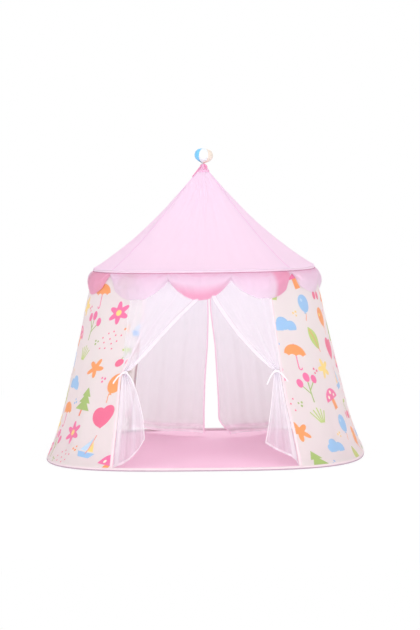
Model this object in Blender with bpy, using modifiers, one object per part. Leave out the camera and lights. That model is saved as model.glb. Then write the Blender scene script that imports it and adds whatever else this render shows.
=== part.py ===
"""Children's play tent, set up: a rounded-square floor on a hem hoop, leaning walls, a concave
roof with four ridges over a scalloped valance, net curtains in the front and rear doorways
(the front pair tied back), a pole frame inside, and a stuffed ball on the tip.

Metres, +Z up. The front doorway faces -Y and left and right are as seen from the front. The
origin is on the ground under the middle of the floor.
"""

import math

import bmesh
import bpy
from mathutils import Matrix, Vector

# Clearances
SEAT_GAP = 0.0004
SEAM_GAP = 0.0008
BORE_CLEARANCE = 0.0006
SLEEVE_CLEARANCE = 0.0011

# Overall form
BASE_HALF_WIDTH = 0.700
EAVE_HALF_WIDTH = 0.4925
EAVE_HEIGHT = 0.820
ROOF_RISE = 0.450
ROOF_SAG = 0.0455
FLARE_SHARE = 0.13
FLARE_POWER = 10
SAG_POWER = 0.75
ROOF_TIP_SHARE = 0.93

# How round the plan is: the inverse of its superellipse power, and its loss up the roof
BASE_ROUND_SHARE = 0.300
EAVE_ROUND_SHARE = 0.355
TIP_ROUND_SHARE = 0.060

# Cloth
CLOTH = 0.0020
FLOOR_CLOTH = 0.0024
NET = 0.0016
BASE_HEM_CLOTH = 0.0020
EAVE_HEM_CLOTH = 0.0013
HEM_SLIT_ANGLE = math.radians(46)

# Hoops, poles and rods
BASE_HOOP_RADIUS = 0.0040
EAVE_HOOP_RADIUS = 0.0030
POLE_RADIUS = 0.0055
ROD_RADIUS = 0.0035
MOULDED_WALL = 0.0022
POLE_END_GAP = 0.0010
FERRULE_LENGTH = 0.070
FERRULE_WALL = 0.0012

# Foot cups
FOOT_INSET = 0.050
FOOT_DISC_RADIUS = 0.022
FOOT_DISC_THICKNESS = 0.0050
FOOT_SOCKET_HEIGHT = 0.036
FOOT_BORE_FLOOR = 0.009

# Eave elbows
ELBOW_INSET = 0.016
ELBOW_DROP = 0.004
ELBOW_BALL_RADIUS = 0.0110
POLE_SOCKET_LENGTH = 0.040
ROD_SOCKET_LENGTH = 0.032
SOCKET_STOP = 0.012
TONGUE_WIDTH = 0.008
TONGUE_HEIGHT = 0.0034
TONGUE_GAP = 0.0009

# Roof rods and the hub that they meet in
ROD_INSET = 0.0085
ROD_BEND_SHARES = (0.12, 0.24, 0.36, 0.48, 0.60, 0.72)
HUB_DROP = 0.034
HUB_RADIUS = 0.0160
HUB_HEIGHT = 0.020
HUB_DOME_HEIGHT = 0.009
HUB_DOME_REACH_SHARES = (0.50, 0.86)
HUB_DOME_RISE_SHARE = 0.55
HUB_SOCKET_LENGTH = 0.036

# Doorways, the same at the front and at the rear
DOOR_FOOT_HALF_WIDTH = 0.390
DOOR_TOP_HALF_WIDTH = 0.281
HEADER_DEPTH = 0.026

# Valance
SCALLOPS = 3
SCALLOP_DEPTH = 0.113
CUSP_DEPTH = 0.030
SCALLOP_POWER = 0.9
VALANCE_PUFF = 0.0205
VALANCE_LEAD = 0.0008
VALANCE_BELLY_POWER = 0.8

# Net curtains, which run from the doorway's head
NET_PARTING = 0.026
NET_FOLD = 0.0085
NET_FOLDS = 4
NET_HEM_ROLL = 0.0016
HEM_SAG = 0.010
EDGE_GAP = 0.0009

# The front pair, bunched by a tie on each jamb
TIE_HEIGHT_SHARE = 0.488
BUNCH_HALF_WIDTH = 0.0125
BUNCH_HALF_DEPTH = 0.0085
TAIL_FOLD = 0.0110
TAIL_FOLDS = 3
TAIL_FOLD_POWER = 0.6
TAIL_BOW_POWER = 0.7
HEM_RISE_POWER = 0.8
TAIL_FOOT_CLEARANCE = 0.007
TAILS = {
    "left": {"corner_share": 0.652, "rise_share": 0.3625, "spread_power": 0.60},
    "right": {"corner_share": 0.652, "rise_share": 0.270, "spread_power": 1.10},
}

# The rear pair, which hangs closed
REAR_HEADING_DEPTH = 0.125
REAR_HEM_HEIGHT = 0.021
REAR_FOLD = 0.0070
REAR_FOLDS = 4
REAR_BOW_POWER = 1.6
REAR_NETS = {
    "left": {"top_x": 0.006, "foot_x": 0.028, "foot_kick": 0.000},
    "right": {"top_x": 0.006, "foot_x": 0.062, "foot_kick": 0.060},
}

# Ties and their ribbon ends
TIE_BAND_HEIGHT = 0.0110
TIE_BAND_WALL = 0.0014
KNOT_SIZE = (0.0085, 0.0060, 0.0075)
KNOT_OFFSET_SHARE = 0.35
KNOT_LEAD_SHARE = 0.55
RIBBON_RADIUS = 0.0030
RIBBON_STEP = 0.0065
RIBBONS = {
    "inner": (
        (-0.002, 0.000, 0.000),
        (-0.013, -0.004, 0.001),
        (-0.024, -0.005, -0.008),
        (-0.031, -0.004, -0.024),
        (-0.034, -0.002, -0.042),
        (-0.037, 0.000, -0.058),
    ),
    "outer": (
        (0.000, -0.002, 0.002),
        (0.012, -0.010, 0.005),
        (0.028, -0.013, 0.004),
        (0.041, -0.013, -0.008),
        (0.049, -0.014, -0.026),
        (0.053, -0.017, -0.046),
    ),
}

# Gathered tip of the roof and the stuffed ball tied on it
CAP_HEIGHT = 0.036
CAP_OVERHANG = 0.0030
CAP_PLEATS = 8
CAP_PLEAT_SHARE = 0.10
CAP_NECK_RADIUS = 0.0055
CAP_KNOT_RADIUS = 0.0095
CAP_SHARES = ((1.00, 0.00), (0.86, 0.16), (0.52, 0.50), (0.24, 0.74))
BALL_RADIUS = 0.0425
BALL_HEIGHT = 0.068
BALL_SHARES = (
    (0.00, 1.00), (0.42, 0.975), (0.72, 0.90), (0.92, 0.76), (1.00, 0.58), (0.97, 0.42),
    (0.82, 0.27), (0.56, 0.155), (0.27, 0.076), (0.00, 0.00),
)
BALL_GORES = 6
BALL_GROOVE_SHARE = 0.045
BALL_LEAN = math.radians(7)

# Facets
SIDE_STATION_SHARES = (0.0, 3 / 9, 5 / 9, 7 / 9, 8 / 9, 1.0)
ROUND_SIDES = 10
SHARP_ANGLE = math.radians(50)
WALL_ROWS = 6
WALL_ROW_POWER = 1.3
HINGE_CHECKS = 12
ROOF_ROWS = 8

QUARTER_ANGLE = math.pi / 2
EIGHTH_ANGLE = math.pi / 4

# Sizes that follow from those above
BASE_SLEEVE_RADIUS = BASE_HOOP_RADIUS + SLEEVE_CLEARANCE + BASE_HEM_CLOTH
EAVE_SLEEVE_RADIUS = EAVE_HOOP_RADIUS + SLEEVE_CLEARANCE + EAVE_HEM_CLOTH
BASE_RING_HALF = BASE_HALF_WIDTH - BASE_SLEEVE_RADIUS
EAVE_RING_HALF = EAVE_HALF_WIDTH - EAVE_SLEEVE_RADIUS
HEM_CREST_ANGLE = (math.pi - HEM_SLIT_ANGLE) / 2
CREST_RISE_SHARE = math.sin(HEM_CREST_ANGLE)
CREST_REACH_SHARE = math.cos(HEM_CREST_ANGLE)
WALL_FOOT = BASE_SLEEVE_RADIUS * (1 + CREST_RISE_SHARE) + SEAT_GAP
WALL_TOP = EAVE_HEIGHT - EAVE_SLEEVE_RADIUS * CREST_RISE_SHARE - SEAT_GAP
WALL_FOOT_HALF = BASE_RING_HALF + BASE_SLEEVE_RADIUS * CREST_REACH_SHARE
WALL_TOP_HALF = EAVE_RING_HALF + EAVE_SLEEVE_RADIUS * CREST_REACH_SHARE
ROOF_FOOT = EAVE_HEIGHT + EAVE_SLEEVE_RADIUS * CREST_RISE_SHARE + SEAT_GAP
ROOF_FOOT_HALF = EAVE_RING_HALF + EAVE_SLEEVE_RADIUS * CREST_REACH_SHARE
CAP_FOOT = ROOF_FOOT + CLOTH + ROOF_TIP_SHARE * ROOF_RISE + SEAT_GAP
HUB_HEIGHT_UP = ROOF_FOOT + ROOF_RISE * ROOF_TIP_SHARE - HUB_DROP + HUB_HEIGHT
KNOT_HEIGHT = CAP_FOOT + CAP_HEIGHT
TIE_HEIGHT = EAVE_HEIGHT * TIE_HEIGHT_SHARE
BUNCH_SPLIT = KNOT_SIZE[2] + SEAT_GAP
CORNERS = {"front_right": -1, "rear_right": 1, "rear_left": 3, "front_left": 5}
SIDES = {"right": 0, "rear": 1, "left": 2, "front": 3}


def mix(a, b, share):
    return a + (b - a) * share


def mirrored(point, side, end="front"):
    """A point given for the front right, moved to its place on the named side and end."""
    across = 1 if side == "right" else -1
    along = 1 if end == "front" else -1
    return Vector((across * point.x, along * point.y, point.z))


# Forms of the walls and the roof


def side_stations():
    """Angles across one side of the plan, from corner to corner, closest at the corners."""
    half = [share * EIGHTH_ANGLE for share in SIDE_STATION_SHARES]
    return [-a for a in reversed(half[1:])] + half


def ring_angles():
    """Angles all round the plan, once each."""
    return [turn * QUARTER_ANGLE + a for turn in range(4) for a in side_stations()[:-1]]


def plan_corner(turn, half, roundness):
    """The point at this turn from the right on a rounded square with flat sides half away."""
    power = 1 / roundness
    reach = half / (abs(math.cos(turn)) ** power + abs(math.sin(turn)) ** power) ** roundness
    return Vector((reach * math.cos(turn), reach * math.sin(turn)))


def plan_span(reached, half, roundness):
    """The ends of the right-hand side's first facet whose far end has reached the place."""
    ends = [plan_corner(turn, half, roundness) for turn in side_stations()]
    for a, b in zip(ends, ends[1:]):
        if reached(b):
            return a, b
    return ends[-2], ends[-1]


def plan_point(angle, half, roundness):
    """The point at this angle on the faceted plan that all the cloth shares."""
    side = round(angle / QUARTER_ANGLE)
    turn = angle - side * QUARTER_ANGLE
    slope = math.tan(turn)
    a, b = plan_span(lambda end: slope * end.x <= end.y, half, roundness)
    share = (slope * a.x - a.y) / ((b.y - a.y) - slope * (b.x - a.x))
    point = a.lerp(b, share)
    point.rotate(Matrix.Rotation(side * QUARTER_ANGLE, 2))
    return point


def drop_share(z):
    return min(1.0, max(0.0, (WALL_TOP - z) / (WALL_TOP - WALL_FOOT)))


def wall_half(z):
    drop = drop_share(z)
    lean = (1 - FLARE_SHARE) * drop + FLARE_SHARE * drop**FLARE_POWER
    return mix(WALL_TOP_HALF, WALL_FOOT_HALF, lean)


def wall_roundness(z):
    return mix(EAVE_ROUND_SHARE, BASE_ROUND_SHARE, drop_share(z))


def wall_point(angle, z, inset=0.0):
    flat = plan_point(angle, wall_half(z) - inset, wall_roundness(z))
    return Vector((flat.x, flat.y, z))


def front_point(x, z, inset=0.0):
    """The front wall's surface at this x and height, or where it would be in the doorway."""
    half = wall_half(z) - inset
    a, b = plan_span(lambda end: x <= end.y, half, wall_roundness(z))
    return Vector((x, -mix(a.x, b.x, (x - a.y) / (b.y - a.y)), z))


def jamb_x(z):
    return mix(DOOR_TOP_HALF_WIDTH, DOOR_FOOT_HALF_WIDTH, drop_share(z))


def jamb_angle(z):
    """How far the jamb is turned from the middle of the doorway."""
    place = front_point(jamb_x(z), z)
    return math.atan2(place.x, -place.y)


def roof_point(angle, share, drop=0.0):
    """The roof's outer face at this share of its rise, lowered by drop."""
    half = ROOF_FOOT_HALF * (1 - share) - ROOF_SAG * math.sin(math.pi * share**SAG_POWER)
    flat = plan_point(angle, half, mix(EAVE_ROUND_SHARE, TIP_ROUND_SHARE, share))
    return Vector((flat.x, flat.y, ROOF_FOOT + CLOTH + share * ROOF_RISE - drop))


# Scene and modelling helpers


def start_scene():
    for obj in list(bpy.data.objects):
        bpy.data.objects.remove(obj)
    for collection in list(bpy.data.collections):
        bpy.data.collections.remove(collection)
    made = []
    for name in ("play_tent", "cutters"):
        collection = bpy.data.collections.new(name)
        bpy.context.scene.collection.children.link(collection)
        made.append(collection)
    made[1].hide_render = True
    return made


PARTS, CUTTERS = start_scene()


def material(name, colour, roughness, metallic=0.0, alpha=1.0):
    made = bpy.data.materials.new(name)
    made.use_nodes = True
    shader = made.node_tree.nodes["Principled BSDF"]
    shader.inputs["Base Color"].default_value = (*colour, 1.0)
    shader.inputs["Roughness"].default_value = roughness
    shader.inputs["Metallic"].default_value = metallic
    shader.inputs["Alpha"].default_value = alpha
    return made


FINISHES = {
    "roof_cloth": material("roof_cloth", (0.93, 0.60, 0.80), 0.85),
    "wall_cloth": material("wall_cloth", (0.92, 0.76, 0.80), 0.85),
    "floor_cloth": material("floor_cloth", (0.90, 0.45, 0.60), 0.80),
    "binding": material("binding", (0.62, 0.45, 0.56), 0.80),
    "net": material("net", (0.95, 0.90, 0.95), 0.90, alpha=0.5),
    "ribbon": material("ribbon", (0.95, 0.94, 0.95), 0.55),
    "ball_cloth": material("ball_cloth", (0.55, 0.80, 0.92), 0.80),
    "hoop_pipe": material("hoop_pipe", (0.80, 0.80, 0.80), 0.45),
    "pole_pipe": material("pole_pipe", (0.90, 0.90, 0.92), 0.35),
    "moulding": material("moulding", (0.85, 0.86, 0.88), 0.40),
}


def place_object(obj, name, finish=None):
    """Names the object and puts it among the parts, or among the cutters if it has no finish."""
    obj.name = name
    obj.data.name = name
    for collection in list(obj.users_collection):
        collection.objects.unlink(obj)
    if finish is None:
        CUTTERS.objects.link(obj)
        obj.hide_render = True
        obj.display_type = "WIRE"
    else:
        PARTS.objects.link(obj)
        obj.data.materials.append(FINISHES[finish])
    return obj


def write_mesh(bm, mesh):
    """Writes a closed body with all its faces outward."""
    bmesh.ops.recalc_face_normals(bm, faces=bm.faces[:])
    if bm.calc_volume(signed=True) < 0:
        bmesh.ops.reverse_faces(bm, faces=bm.faces[:])
    bm.to_mesh(mesh)
    bm.free()
    mesh.shade_smooth()
    mesh.set_sharp_from_angle(angle=SHARP_ANGLE)


def from_bmesh(bm, name, finish):
    mesh = bpy.data.meshes.new(name)
    write_mesh(bm, mesh)
    return place_object(bpy.data.objects.new(name, mesh), name, finish)


def cloth(name, finish, columns, rows, place):
    """A closed sheet. place(u, v, depth) gives its outer face at depth 0, its inner at 1."""
    bm = bmesh.new()
    bmesh.ops.create_grid(bm, x_segments=columns, y_segments=rows, size=1)
    grown = bmesh.ops.extrude_face_region(bm, geom=bm.faces[:], use_keep_orig=True)
    for item in grown["geom"]:
        if isinstance(item, bmesh.types.BMVert):
            item.co.z = 1.0
    for vert in bm.verts:
        u, v, depth = (vert.co.x + 1) / 2, (vert.co.y + 1) / 2, vert.co.z
        vert.co = place(u, v, depth)
    return from_bmesh(bm, name, finish)


def spun(name, finish, profile, segments, place):
    """A closed form of rings. profile runs from the top pole to the bottom one."""
    bm = bmesh.new()
    steps = len(profile) - 1
    bmesh.ops.create_uvsphere(bm, u_segments=segments, v_segments=steps, radius=1)
    for vert in bm.verts:
        ring = round(math.acos(max(-1.0, min(1.0, vert.co.z))) / math.pi * steps)
        vert.co = place(math.atan2(vert.co.y, vert.co.x), *profile[ring])
    return from_bmesh(bm, name, finish)


def tube(name, finish, points, radius, resolution=1, closed=False):
    """A rod, pipe or hoop along a line of points."""
    curve = bpy.data.curves.new(name, "CURVE")
    curve.dimensions = "3D"
    curve.twist_mode = "Z_UP" if closed else "MINIMUM"
    curve.bevel_depth = radius
    curve.bevel_resolution = resolution
    curve.use_fill_caps = not closed
    spline = curve.splines.new("POLY")
    spline.points.add(len(points) - 1)
    for target, point in zip(spline.points, points):
        target.co = (*point, 1.0)
    spline.use_cyclic_u = closed
    spline.use_smooth = True
    return place_object(bpy.data.objects.new(name, curve), name, finish)


def cylinder(name, start, end, radius, finish=None, sides=ROUND_SIDES):
    """A solid cylinder from start to end."""
    along = end - start
    turn = along.to_track_quat("Z", "Y").to_euler()
    bpy.ops.mesh.primitive_cylinder_add(
        vertices=sides, radius=radius, depth=along.length, location=(start + end) / 2, rotation=turn
    )
    return place_object(bpy.context.object, name, finish)


def combine(obj, operation, others):
    """Adds or cuts the other bodies by Boolean modifiers, which stay live."""
    for other in others:
        modifier = obj.modifiers.new(other.name, "BOOLEAN")
        modifier.operation = operation
        modifier.solver = "EXACT"
        modifier.object = other
    return obj


# Hems and floor


def hem_sleeve(name, finish, ring_half, height, roundness, inner, outer):
    """A cloth sleeve round a hoop, with a slit towards the axis, where cloth is sewn in."""
    arc_steps = 5
    angles = ring_angles()
    bpy.ops.mesh.primitive_torus_add(
        major_segments=len(angles), minor_segments=2 * arc_steps, major_radius=ring_half, minor_radius=outer
    )
    obj = place_object(bpy.context.object, name, finish)
    spread = math.pi - HEM_SLIT_ANGLE
    for vert in obj.data.vertices:
        flat = Vector((vert.co.x, vert.co.y))
        station = round(math.atan2(flat.y, flat.x) / math.tau * len(angles)) % len(angles)
        step = round(math.atan2(vert.co.z, flat.length - ring_half) / math.tau * 2 * arc_steps)
        step %= 2 * arc_steps
        back = step >= arc_steps
        share = (step % arc_steps) / (arc_steps - 1)
        swing = mix(-spread, spread, 1 - share if back else share)
        radius = inner if back else outer
        half = ring_half + radius * math.cos(swing)
        place = plan_point(angles[station], half, roundness)
        vert.co = (place.x, place.y, height + radius * math.sin(swing))
    bm = bmesh.new()
    bm.from_mesh(obj.data)
    write_mesh(bm, obj.data)


def ring_points(half, roundness, height):
    points = [plan_point(angle, half, roundness) for angle in ring_angles()]
    return [Vector((p.x, p.y, height)) for p in points]


def make_hems():
    tube(
        "base_hoop", "hoop_pipe", ring_points(BASE_RING_HALF, BASE_ROUND_SHARE, BASE_SLEEVE_RADIUS),
        BASE_HOOP_RADIUS, closed=True,
    )
    tube(
        "eave_hoop", "hoop_pipe", ring_points(EAVE_RING_HALF, EAVE_ROUND_SHARE, EAVE_HEIGHT),
        EAVE_HOOP_RADIUS, closed=True,
    )
    hem_sleeve(
        "base_binding", "binding", BASE_RING_HALF, BASE_SLEEVE_RADIUS, BASE_ROUND_SHARE,
        BASE_HOOP_RADIUS + SLEEVE_CLEARANCE, BASE_SLEEVE_RADIUS,
    )
    hem_sleeve(
        "eave_binding", "roof_cloth", EAVE_RING_HALF, EAVE_HEIGHT, EAVE_ROUND_SHARE,
        EAVE_HOOP_RADIUS + SLEEVE_CLEARANCE, EAVE_SLEEVE_RADIUS,
    )


def floor_half():
    """The floor's edge lies close against the round of the base hem."""
    rise = BASE_SLEEVE_RADIUS - FLOOR_CLOTH
    reach = BASE_SLEEVE_RADIUS + SEAT_GAP
    return BASE_RING_HALF - math.sqrt(reach * reach - rise * rise)


def make_floor():
    curve = bpy.data.curves.new("floor_sheet", "CURVE")
    curve.dimensions = "2D"
    curve.fill_mode = "BOTH"
    curve.extrude = FLOOR_CLOTH / 2
    points = ring_points(floor_half(), BASE_ROUND_SHARE, 0)
    spline = curve.splines.new("POLY")
    spline.points.add(len(points) - 1)
    for target, point in zip(spline.points, points):
        target.co = (*point, 1.0)
    spline.use_cyclic_u = True
    floor = place_object(bpy.data.objects.new("floor_sheet", curve), "floor_sheet", "floor_cloth")
    floor.location.z = FLOOR_CLOTH / 2


# Pole frame


def corner_direction(eighths):
    angle = eighths * EIGHTH_ANGLE
    return Vector((math.cos(angle), math.sin(angle), 0))


def corner_reach(half, roundness, angle=EIGHTH_ANGLE):
    return plan_point(angle, half, roundness).length


def foot_point(out):
    reach = corner_reach(floor_half(), BASE_ROUND_SHARE) - FOOT_INSET
    return out * reach + Vector((0, 0, FLOOR_CLOTH + SEAT_GAP))


def elbow_point(out):
    reach = corner_reach(EAVE_RING_HALF, EAVE_ROUND_SHARE) - ELBOW_INSET
    return out * reach + Vector((0, 0, EAVE_HEIGHT - ELBOW_DROP))


def hub_point():
    return Vector((0, 0, HUB_HEIGHT_UP - HUB_HEIGHT / 2))


def rod_bends(out):
    """Points that the roof rod passes, under the ridge on this corner."""
    angle = math.atan2(out.y, out.x)
    points = []
    for share in ROD_BEND_SHARES:
        ridge = roof_point(angle, share)
        lower = roof_point(angle, share - (ROD_BEND_SHARES[1] - ROD_BEND_SHARES[0]) / 2)
        slope = (ridge - lower).normalized()
        inward = slope.cross(Vector((0, 0, 1)).cross(out)).normalized()
        points.append(ridge + inward * (ROD_INSET + CLOTH) * (1 if inward.z < 0 else -1))
    return points


def make_foot_cup(name, out):
    foot = foot_point(out)
    axis = (elbow_point(out) - foot).normalized()
    tip = foot + axis * FOOT_SOCKET_HEIGHT
    lift = Vector((0, 0, FOOT_DISC_THICKNESS))
    bore = POLE_RADIUS + BORE_CLEARANCE
    boss_radius = bore + MOULDED_WALL
    root = foot + Vector((0, 0, boss_radius * axis.xy.length + SEAT_GAP))
    cup = cylinder(name, foot, foot + lift, FOOT_DISC_RADIUS, "moulding")
    boss = cylinder(f"{name}_boss", root, tip, boss_radius)
    hole = cylinder(f"{name}_bore", foot + axis * FOOT_BORE_FLOOR, tip + axis * FOOT_BORE_FLOOR, bore)
    combine(cup, "UNION", [boss])
    combine(cup, "DIFFERENCE", [hole])


def make_wall_pole(corner, out):
    foot, elbow = foot_point(out), elbow_point(out)
    axis = (elbow - foot).normalized()
    low = foot + axis * (FOOT_BORE_FLOOR + POLE_END_GAP)
    high = elbow - axis * (SOCKET_STOP + POLE_END_GAP)
    middle = (low + high) / 2
    half_gap = axis * (POLE_END_GAP / 2)
    tube(f"wall_pole_lower_{corner}", "pole_pipe", [low, middle - half_gap], POLE_RADIUS, 2)
    tube(f"wall_pole_upper_{corner}", "pole_pipe", [middle + half_gap, high], POLE_RADIUS, 2)
    reach = axis * (FERRULE_LENGTH / 2)
    bore = POLE_RADIUS + BORE_CLEARANCE
    ferrule = cylinder(
        f"pole_ferrule_{corner}", middle - reach, middle + reach, bore + FERRULE_WALL, "moulding"
    )
    hole = cylinder(
        f"pole_ferrule_bore_{corner}", middle - reach * 2, middle + reach * 2, bore
    )
    combine(ferrule, "DIFFERENCE", [hole])


def make_elbow(name, out):
    """Holds the pole's top and the roof rod's foot, and bears on the eave hoop in its hem."""
    centre = elbow_point(out)
    down = (foot_point(out) - centre).normalized()
    up = (rod_bends(out)[0] - centre).normalized()
    pole_bore, rod_bore = POLE_RADIUS + BORE_CLEARANCE, ROD_RADIUS + BORE_CLEARANCE
    bpy.ops.mesh.primitive_uv_sphere_add(
        segments=ROUND_SIDES, ring_count=ROUND_SIDES // 2, radius=ELBOW_BALL_RADIUS, location=centre
    )
    elbow = place_object(bpy.context.object, name, "moulding")
    pole_end = centre + down * POLE_SOCKET_LENGTH
    rod_end = centre + up * ROD_SOCKET_LENGTH
    pole_socket = cylinder(f"{name}_pole_socket", centre, pole_end, pole_bore + MOULDED_WALL)
    rod_socket = cylinder(f"{name}_rod_socket", centre, rod_end, rod_bore + MOULDED_WALL)
    reach = corner_reach(EAVE_RING_HALF, EAVE_ROUND_SHARE) - EAVE_HOOP_RADIUS - TONGUE_GAP
    start = Vector((centre.x, centre.y, EAVE_HEIGHT))
    end = out * reach + Vector((0, 0, EAVE_HEIGHT))
    bpy.ops.mesh.primitive_cube_add(
        size=1, location=(start + end) / 2, rotation=(0, 0, math.atan2(out.y, out.x))
    )
    tongue = place_object(bpy.context.object, f"{name}_tongue")
    tongue.scale = ((end - start).length, TONGUE_WIDTH, TONGUE_HEIGHT)
    combine(elbow, "UNION", [pole_socket, rod_socket, tongue])
    down_stop, up_stop = down * SOCKET_STOP, up * SOCKET_STOP
    pole_hole = cylinder(f"{name}_pole_bore", centre + down_stop, pole_end + down_stop, pole_bore)
    rod_hole = cylinder(f"{name}_rod_bore", centre + up_stop, rod_end + up_stop, rod_bore)
    combine(elbow, "DIFFERENCE", [pole_hole, rod_hole])


def hub_end(out):
    """The last bend of the roof rod, and the way from the hub to it."""
    last = rod_bends(out)[-1]
    return last, (last - hub_point()).normalized()


def make_roof_rod(name, out):
    centre = elbow_point(out)
    bends = rod_bends(out)
    up = (bends[0] - centre).normalized()
    _, away = hub_end(out)
    start = centre + up * (SOCKET_STOP + POLE_END_GAP)
    end = hub_point() + away * (SOCKET_STOP + POLE_END_GAP)
    tube(name, "pole_pipe", [start, *bends, end], ROD_RADIUS)


def make_hub():
    """Four sockets round a domed body, which carries the tip of the roof."""
    centre = hub_point()
    top = centre.z + HUB_HEIGHT / 2
    foot = centre.z - HUB_HEIGHT / 2
    shoulder = top - HUB_DOME_HEIGHT
    flat, slope = HUB_DOME_REACH_SHARES
    profile = [(0, top), (HUB_RADIUS * flat, top)]
    profile += [(HUB_RADIUS * slope, mix(shoulder, top, HUB_DOME_RISE_SHARE))]
    profile += [(HUB_RADIUS, shoulder), (HUB_RADIUS, foot), (0, foot)]
    mesh = bpy.data.meshes.new("apex_hub")
    mesh.from_pydata([(r, 0, z) for r, z in profile], [(i, i + 1) for i in range(len(profile) - 1)], [])
    hub = place_object(bpy.data.objects.new("apex_hub", mesh), "apex_hub", "moulding")
    screw = hub.modifiers.new("turn", "SCREW")
    screw.steps = screw.render_steps = ROUND_SIDES + 4
    screw.use_merge_vertices = True
    screw.merge_threshold = 0.00005
    bore = ROD_RADIUS + BORE_CLEARANCE
    sockets, holes = [], []
    for corner, eighths in CORNERS.items():
        _, away = hub_end(corner_direction(eighths))
        end = centre + away * HUB_SOCKET_LENGTH
        sockets.append(cylinder(f"hub_socket_{corner}", centre, end, bore + MOULDED_WALL))
        holes.append(
            cylinder(f"hub_bore_{corner}", centre + away * SOCKET_STOP, end + away * SOCKET_STOP, bore)
        )
    combine(hub, "UNION", sockets)
    combine(hub, "DIFFERENCE", holes)


def make_frame():
    for corner, eighths in CORNERS.items():
        out = corner_direction(eighths)
        make_foot_cup(f"foot_cup_{corner}", out)
        make_wall_pole(corner, out)
        make_elbow(f"eave_elbow_{corner}", out)
        make_roof_rod(f"roof_rod_{corner}", out)
    make_hub()


# Walls and roof


def seam_turn(reach):
    """Half the gap at a seam, as an angle at this distance from the axis."""
    return SEAM_GAP / 2 / reach


def wall_height(v):
    """Heights of a wall's rows, closer together down at the flare."""
    return mix(WALL_FOOT, WALL_TOP, v**WALL_ROW_POWER)


def make_side_wall(side):
    middle = SIDES[side] * QUARTER_ANGLE
    stations = side_stations()

    def place(u, v, depth):
        z = wall_height(v)
        turn = stations[round(u * (len(stations) - 1))]
        limit = EIGHTH_ANGLE - seam_turn(wall_half(z))
        return wall_point(middle + max(-limit, min(limit, turn)), z, CLOTH * depth)

    cloth(f"wall_{side}", "wall_cloth", len(stations) - 1, WALL_ROWS, place)


def make_corner_wall(end, side):
    """From the doorway's jamb to the corner."""
    facets = [share * EIGHTH_ANGLE for share in SIDE_STATION_SHARES[3:-1]]

    def place(u, v, depth):
        z = wall_height(v)
        jamb, seam = jamb_angle(z), EIGHTH_ANGLE - seam_turn(wall_half(z))
        least = (seam - jamb) / (2 * len(facets))
        between = [max(turn, jamb + least * k) for k, turn in enumerate(facets, 1)]
        stations = [jamb, *between, seam]
        turn = stations[round(u * (len(stations) - 1))]
        return mirrored(wall_point(turn - QUARTER_ANGLE, z, CLOTH * depth), side, end)

    cloth(f"wall_{end}_{side}", "wall_cloth", len(facets) + 1, WALL_ROWS, place)


def make_roof_panel(side):
    middle = SIDES[side] * QUARTER_ANGLE
    stations = side_stations()

    def place(u, v, depth):
        share = v * ROOF_TIP_SHARE
        turn = stations[round(u * (len(stations) - 1))]
        reach = roof_point(0, share).x
        limit = EIGHTH_ANGLE - seam_turn(reach)
        return roof_point(middle + max(-limit, min(limit, turn)), share, CLOTH * depth)

    cloth(f"roof_panel_{side}", "roof_cloth", len(stations) - 1, ROOF_ROWS, place)


def scallop_depth(u):
    """How far the valance hangs at this share of one side: round lobes that meet in cusps."""
    across = 2 * ((u * SCALLOPS) % 1.0) - 1 if u < 1 else 1.0
    return mix(CUSP_DEPTH, SCALLOP_DEPTH, max(0.0, 1 - across * across) ** SCALLOP_POWER)


def make_valance(side):
    """Hangs under the eave, just outside the wall, and puffs out between its cusps."""
    middle = SIDES[side] * QUARTER_ANGLE

    def place(u, v, depth):
        hang = scallop_depth(u)
        down = 1 - v
        z = WALL_TOP - hang * down
        puff = VALANCE_PUFF * math.sqrt(hang / SCALLOP_DEPTH) * math.sin(math.pi * down**VALANCE_BELLY_POWER)
        out = VALANCE_LEAD + puff + CLOTH * (1 - depth)
        limit = EIGHTH_ANGLE - seam_turn(wall_half(z) + out)
        return wall_point(middle + mix(-limit, limit, u), z, -out)

    cloth(f"valance_{side}", "roof_cloth", 6 * SCALLOPS, 3, place)


def make_cap():
    """The roof cloth gathered to a neck, with the knot that ties the ball on."""
    corner = roof_point(EIGHTH_ANGLE, ROOF_TIP_SHARE)
    profile = [(0, KNOT_HEIGHT)]
    for turn in (60, 15, -30):
        swing = math.radians(turn)
        height = KNOT_HEIGHT - CAP_KNOT_RADIUS * (1 - math.sin(swing)) / 2
        profile.append((CAP_KNOT_RADIUS * math.cos(swing), height))
    profile.append((CAP_NECK_RADIUS, KNOT_HEIGHT - CAP_KNOT_RADIUS))
    for reach, rise in reversed(CAP_SHARES):
        profile.append((reach, CAP_FOOT + rise * CAP_HEIGHT))
    profile.append((0, CAP_FOOT))
    shoulder = len(profile) - 1 - len(CAP_SHARES)
    widest = corner.xy.length + CAP_OVERHANG

    def place(angle, reach, z):
        ring = profile.index((reach, z))
        if ring < shoulder or ring == len(profile) - 1:
            return Vector((reach * math.cos(angle), reach * math.sin(angle), z))
        square = corner_reach(1, TIP_ROUND_SHARE, angle) / corner_reach(1, TIP_ROUND_SHARE)
        pleat = 1 + CAP_PLEAT_SHARE * math.cos(CAP_PLEATS * angle)
        wide = widest * reach * mix(1.0, square, reach) * pleat
        return Vector((wide * math.cos(angle), wide * math.sin(angle), z))

    spun("roof_cap", "roof_cloth", profile, 2 * CAP_PLEATS, place)


def make_ball():
    """Six stuffed gores drawn in to a neck, tied on the tip and leaning a little."""
    turn = Matrix.Rotation(BALL_LEAN, 4, "Y")
    profile = [(BALL_RADIUS * reach, BALL_HEIGHT * rise) for reach, rise in BALL_SHARES]

    def place(angle, reach, z):
        groove = 1 - BALL_GROOVE_SHARE * abs(math.cos(angle * BALL_GORES / 2)) ** 6
        return turn @ Vector((reach * groove * math.cos(angle), reach * groove * math.sin(angle), z))

    ball = spun("finial_ball", "ball_cloth", profile, 3 * BALL_GORES, place)
    ball.location.z = KNOT_HEIGHT + SEAT_GAP


# Doorways and nets


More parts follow.
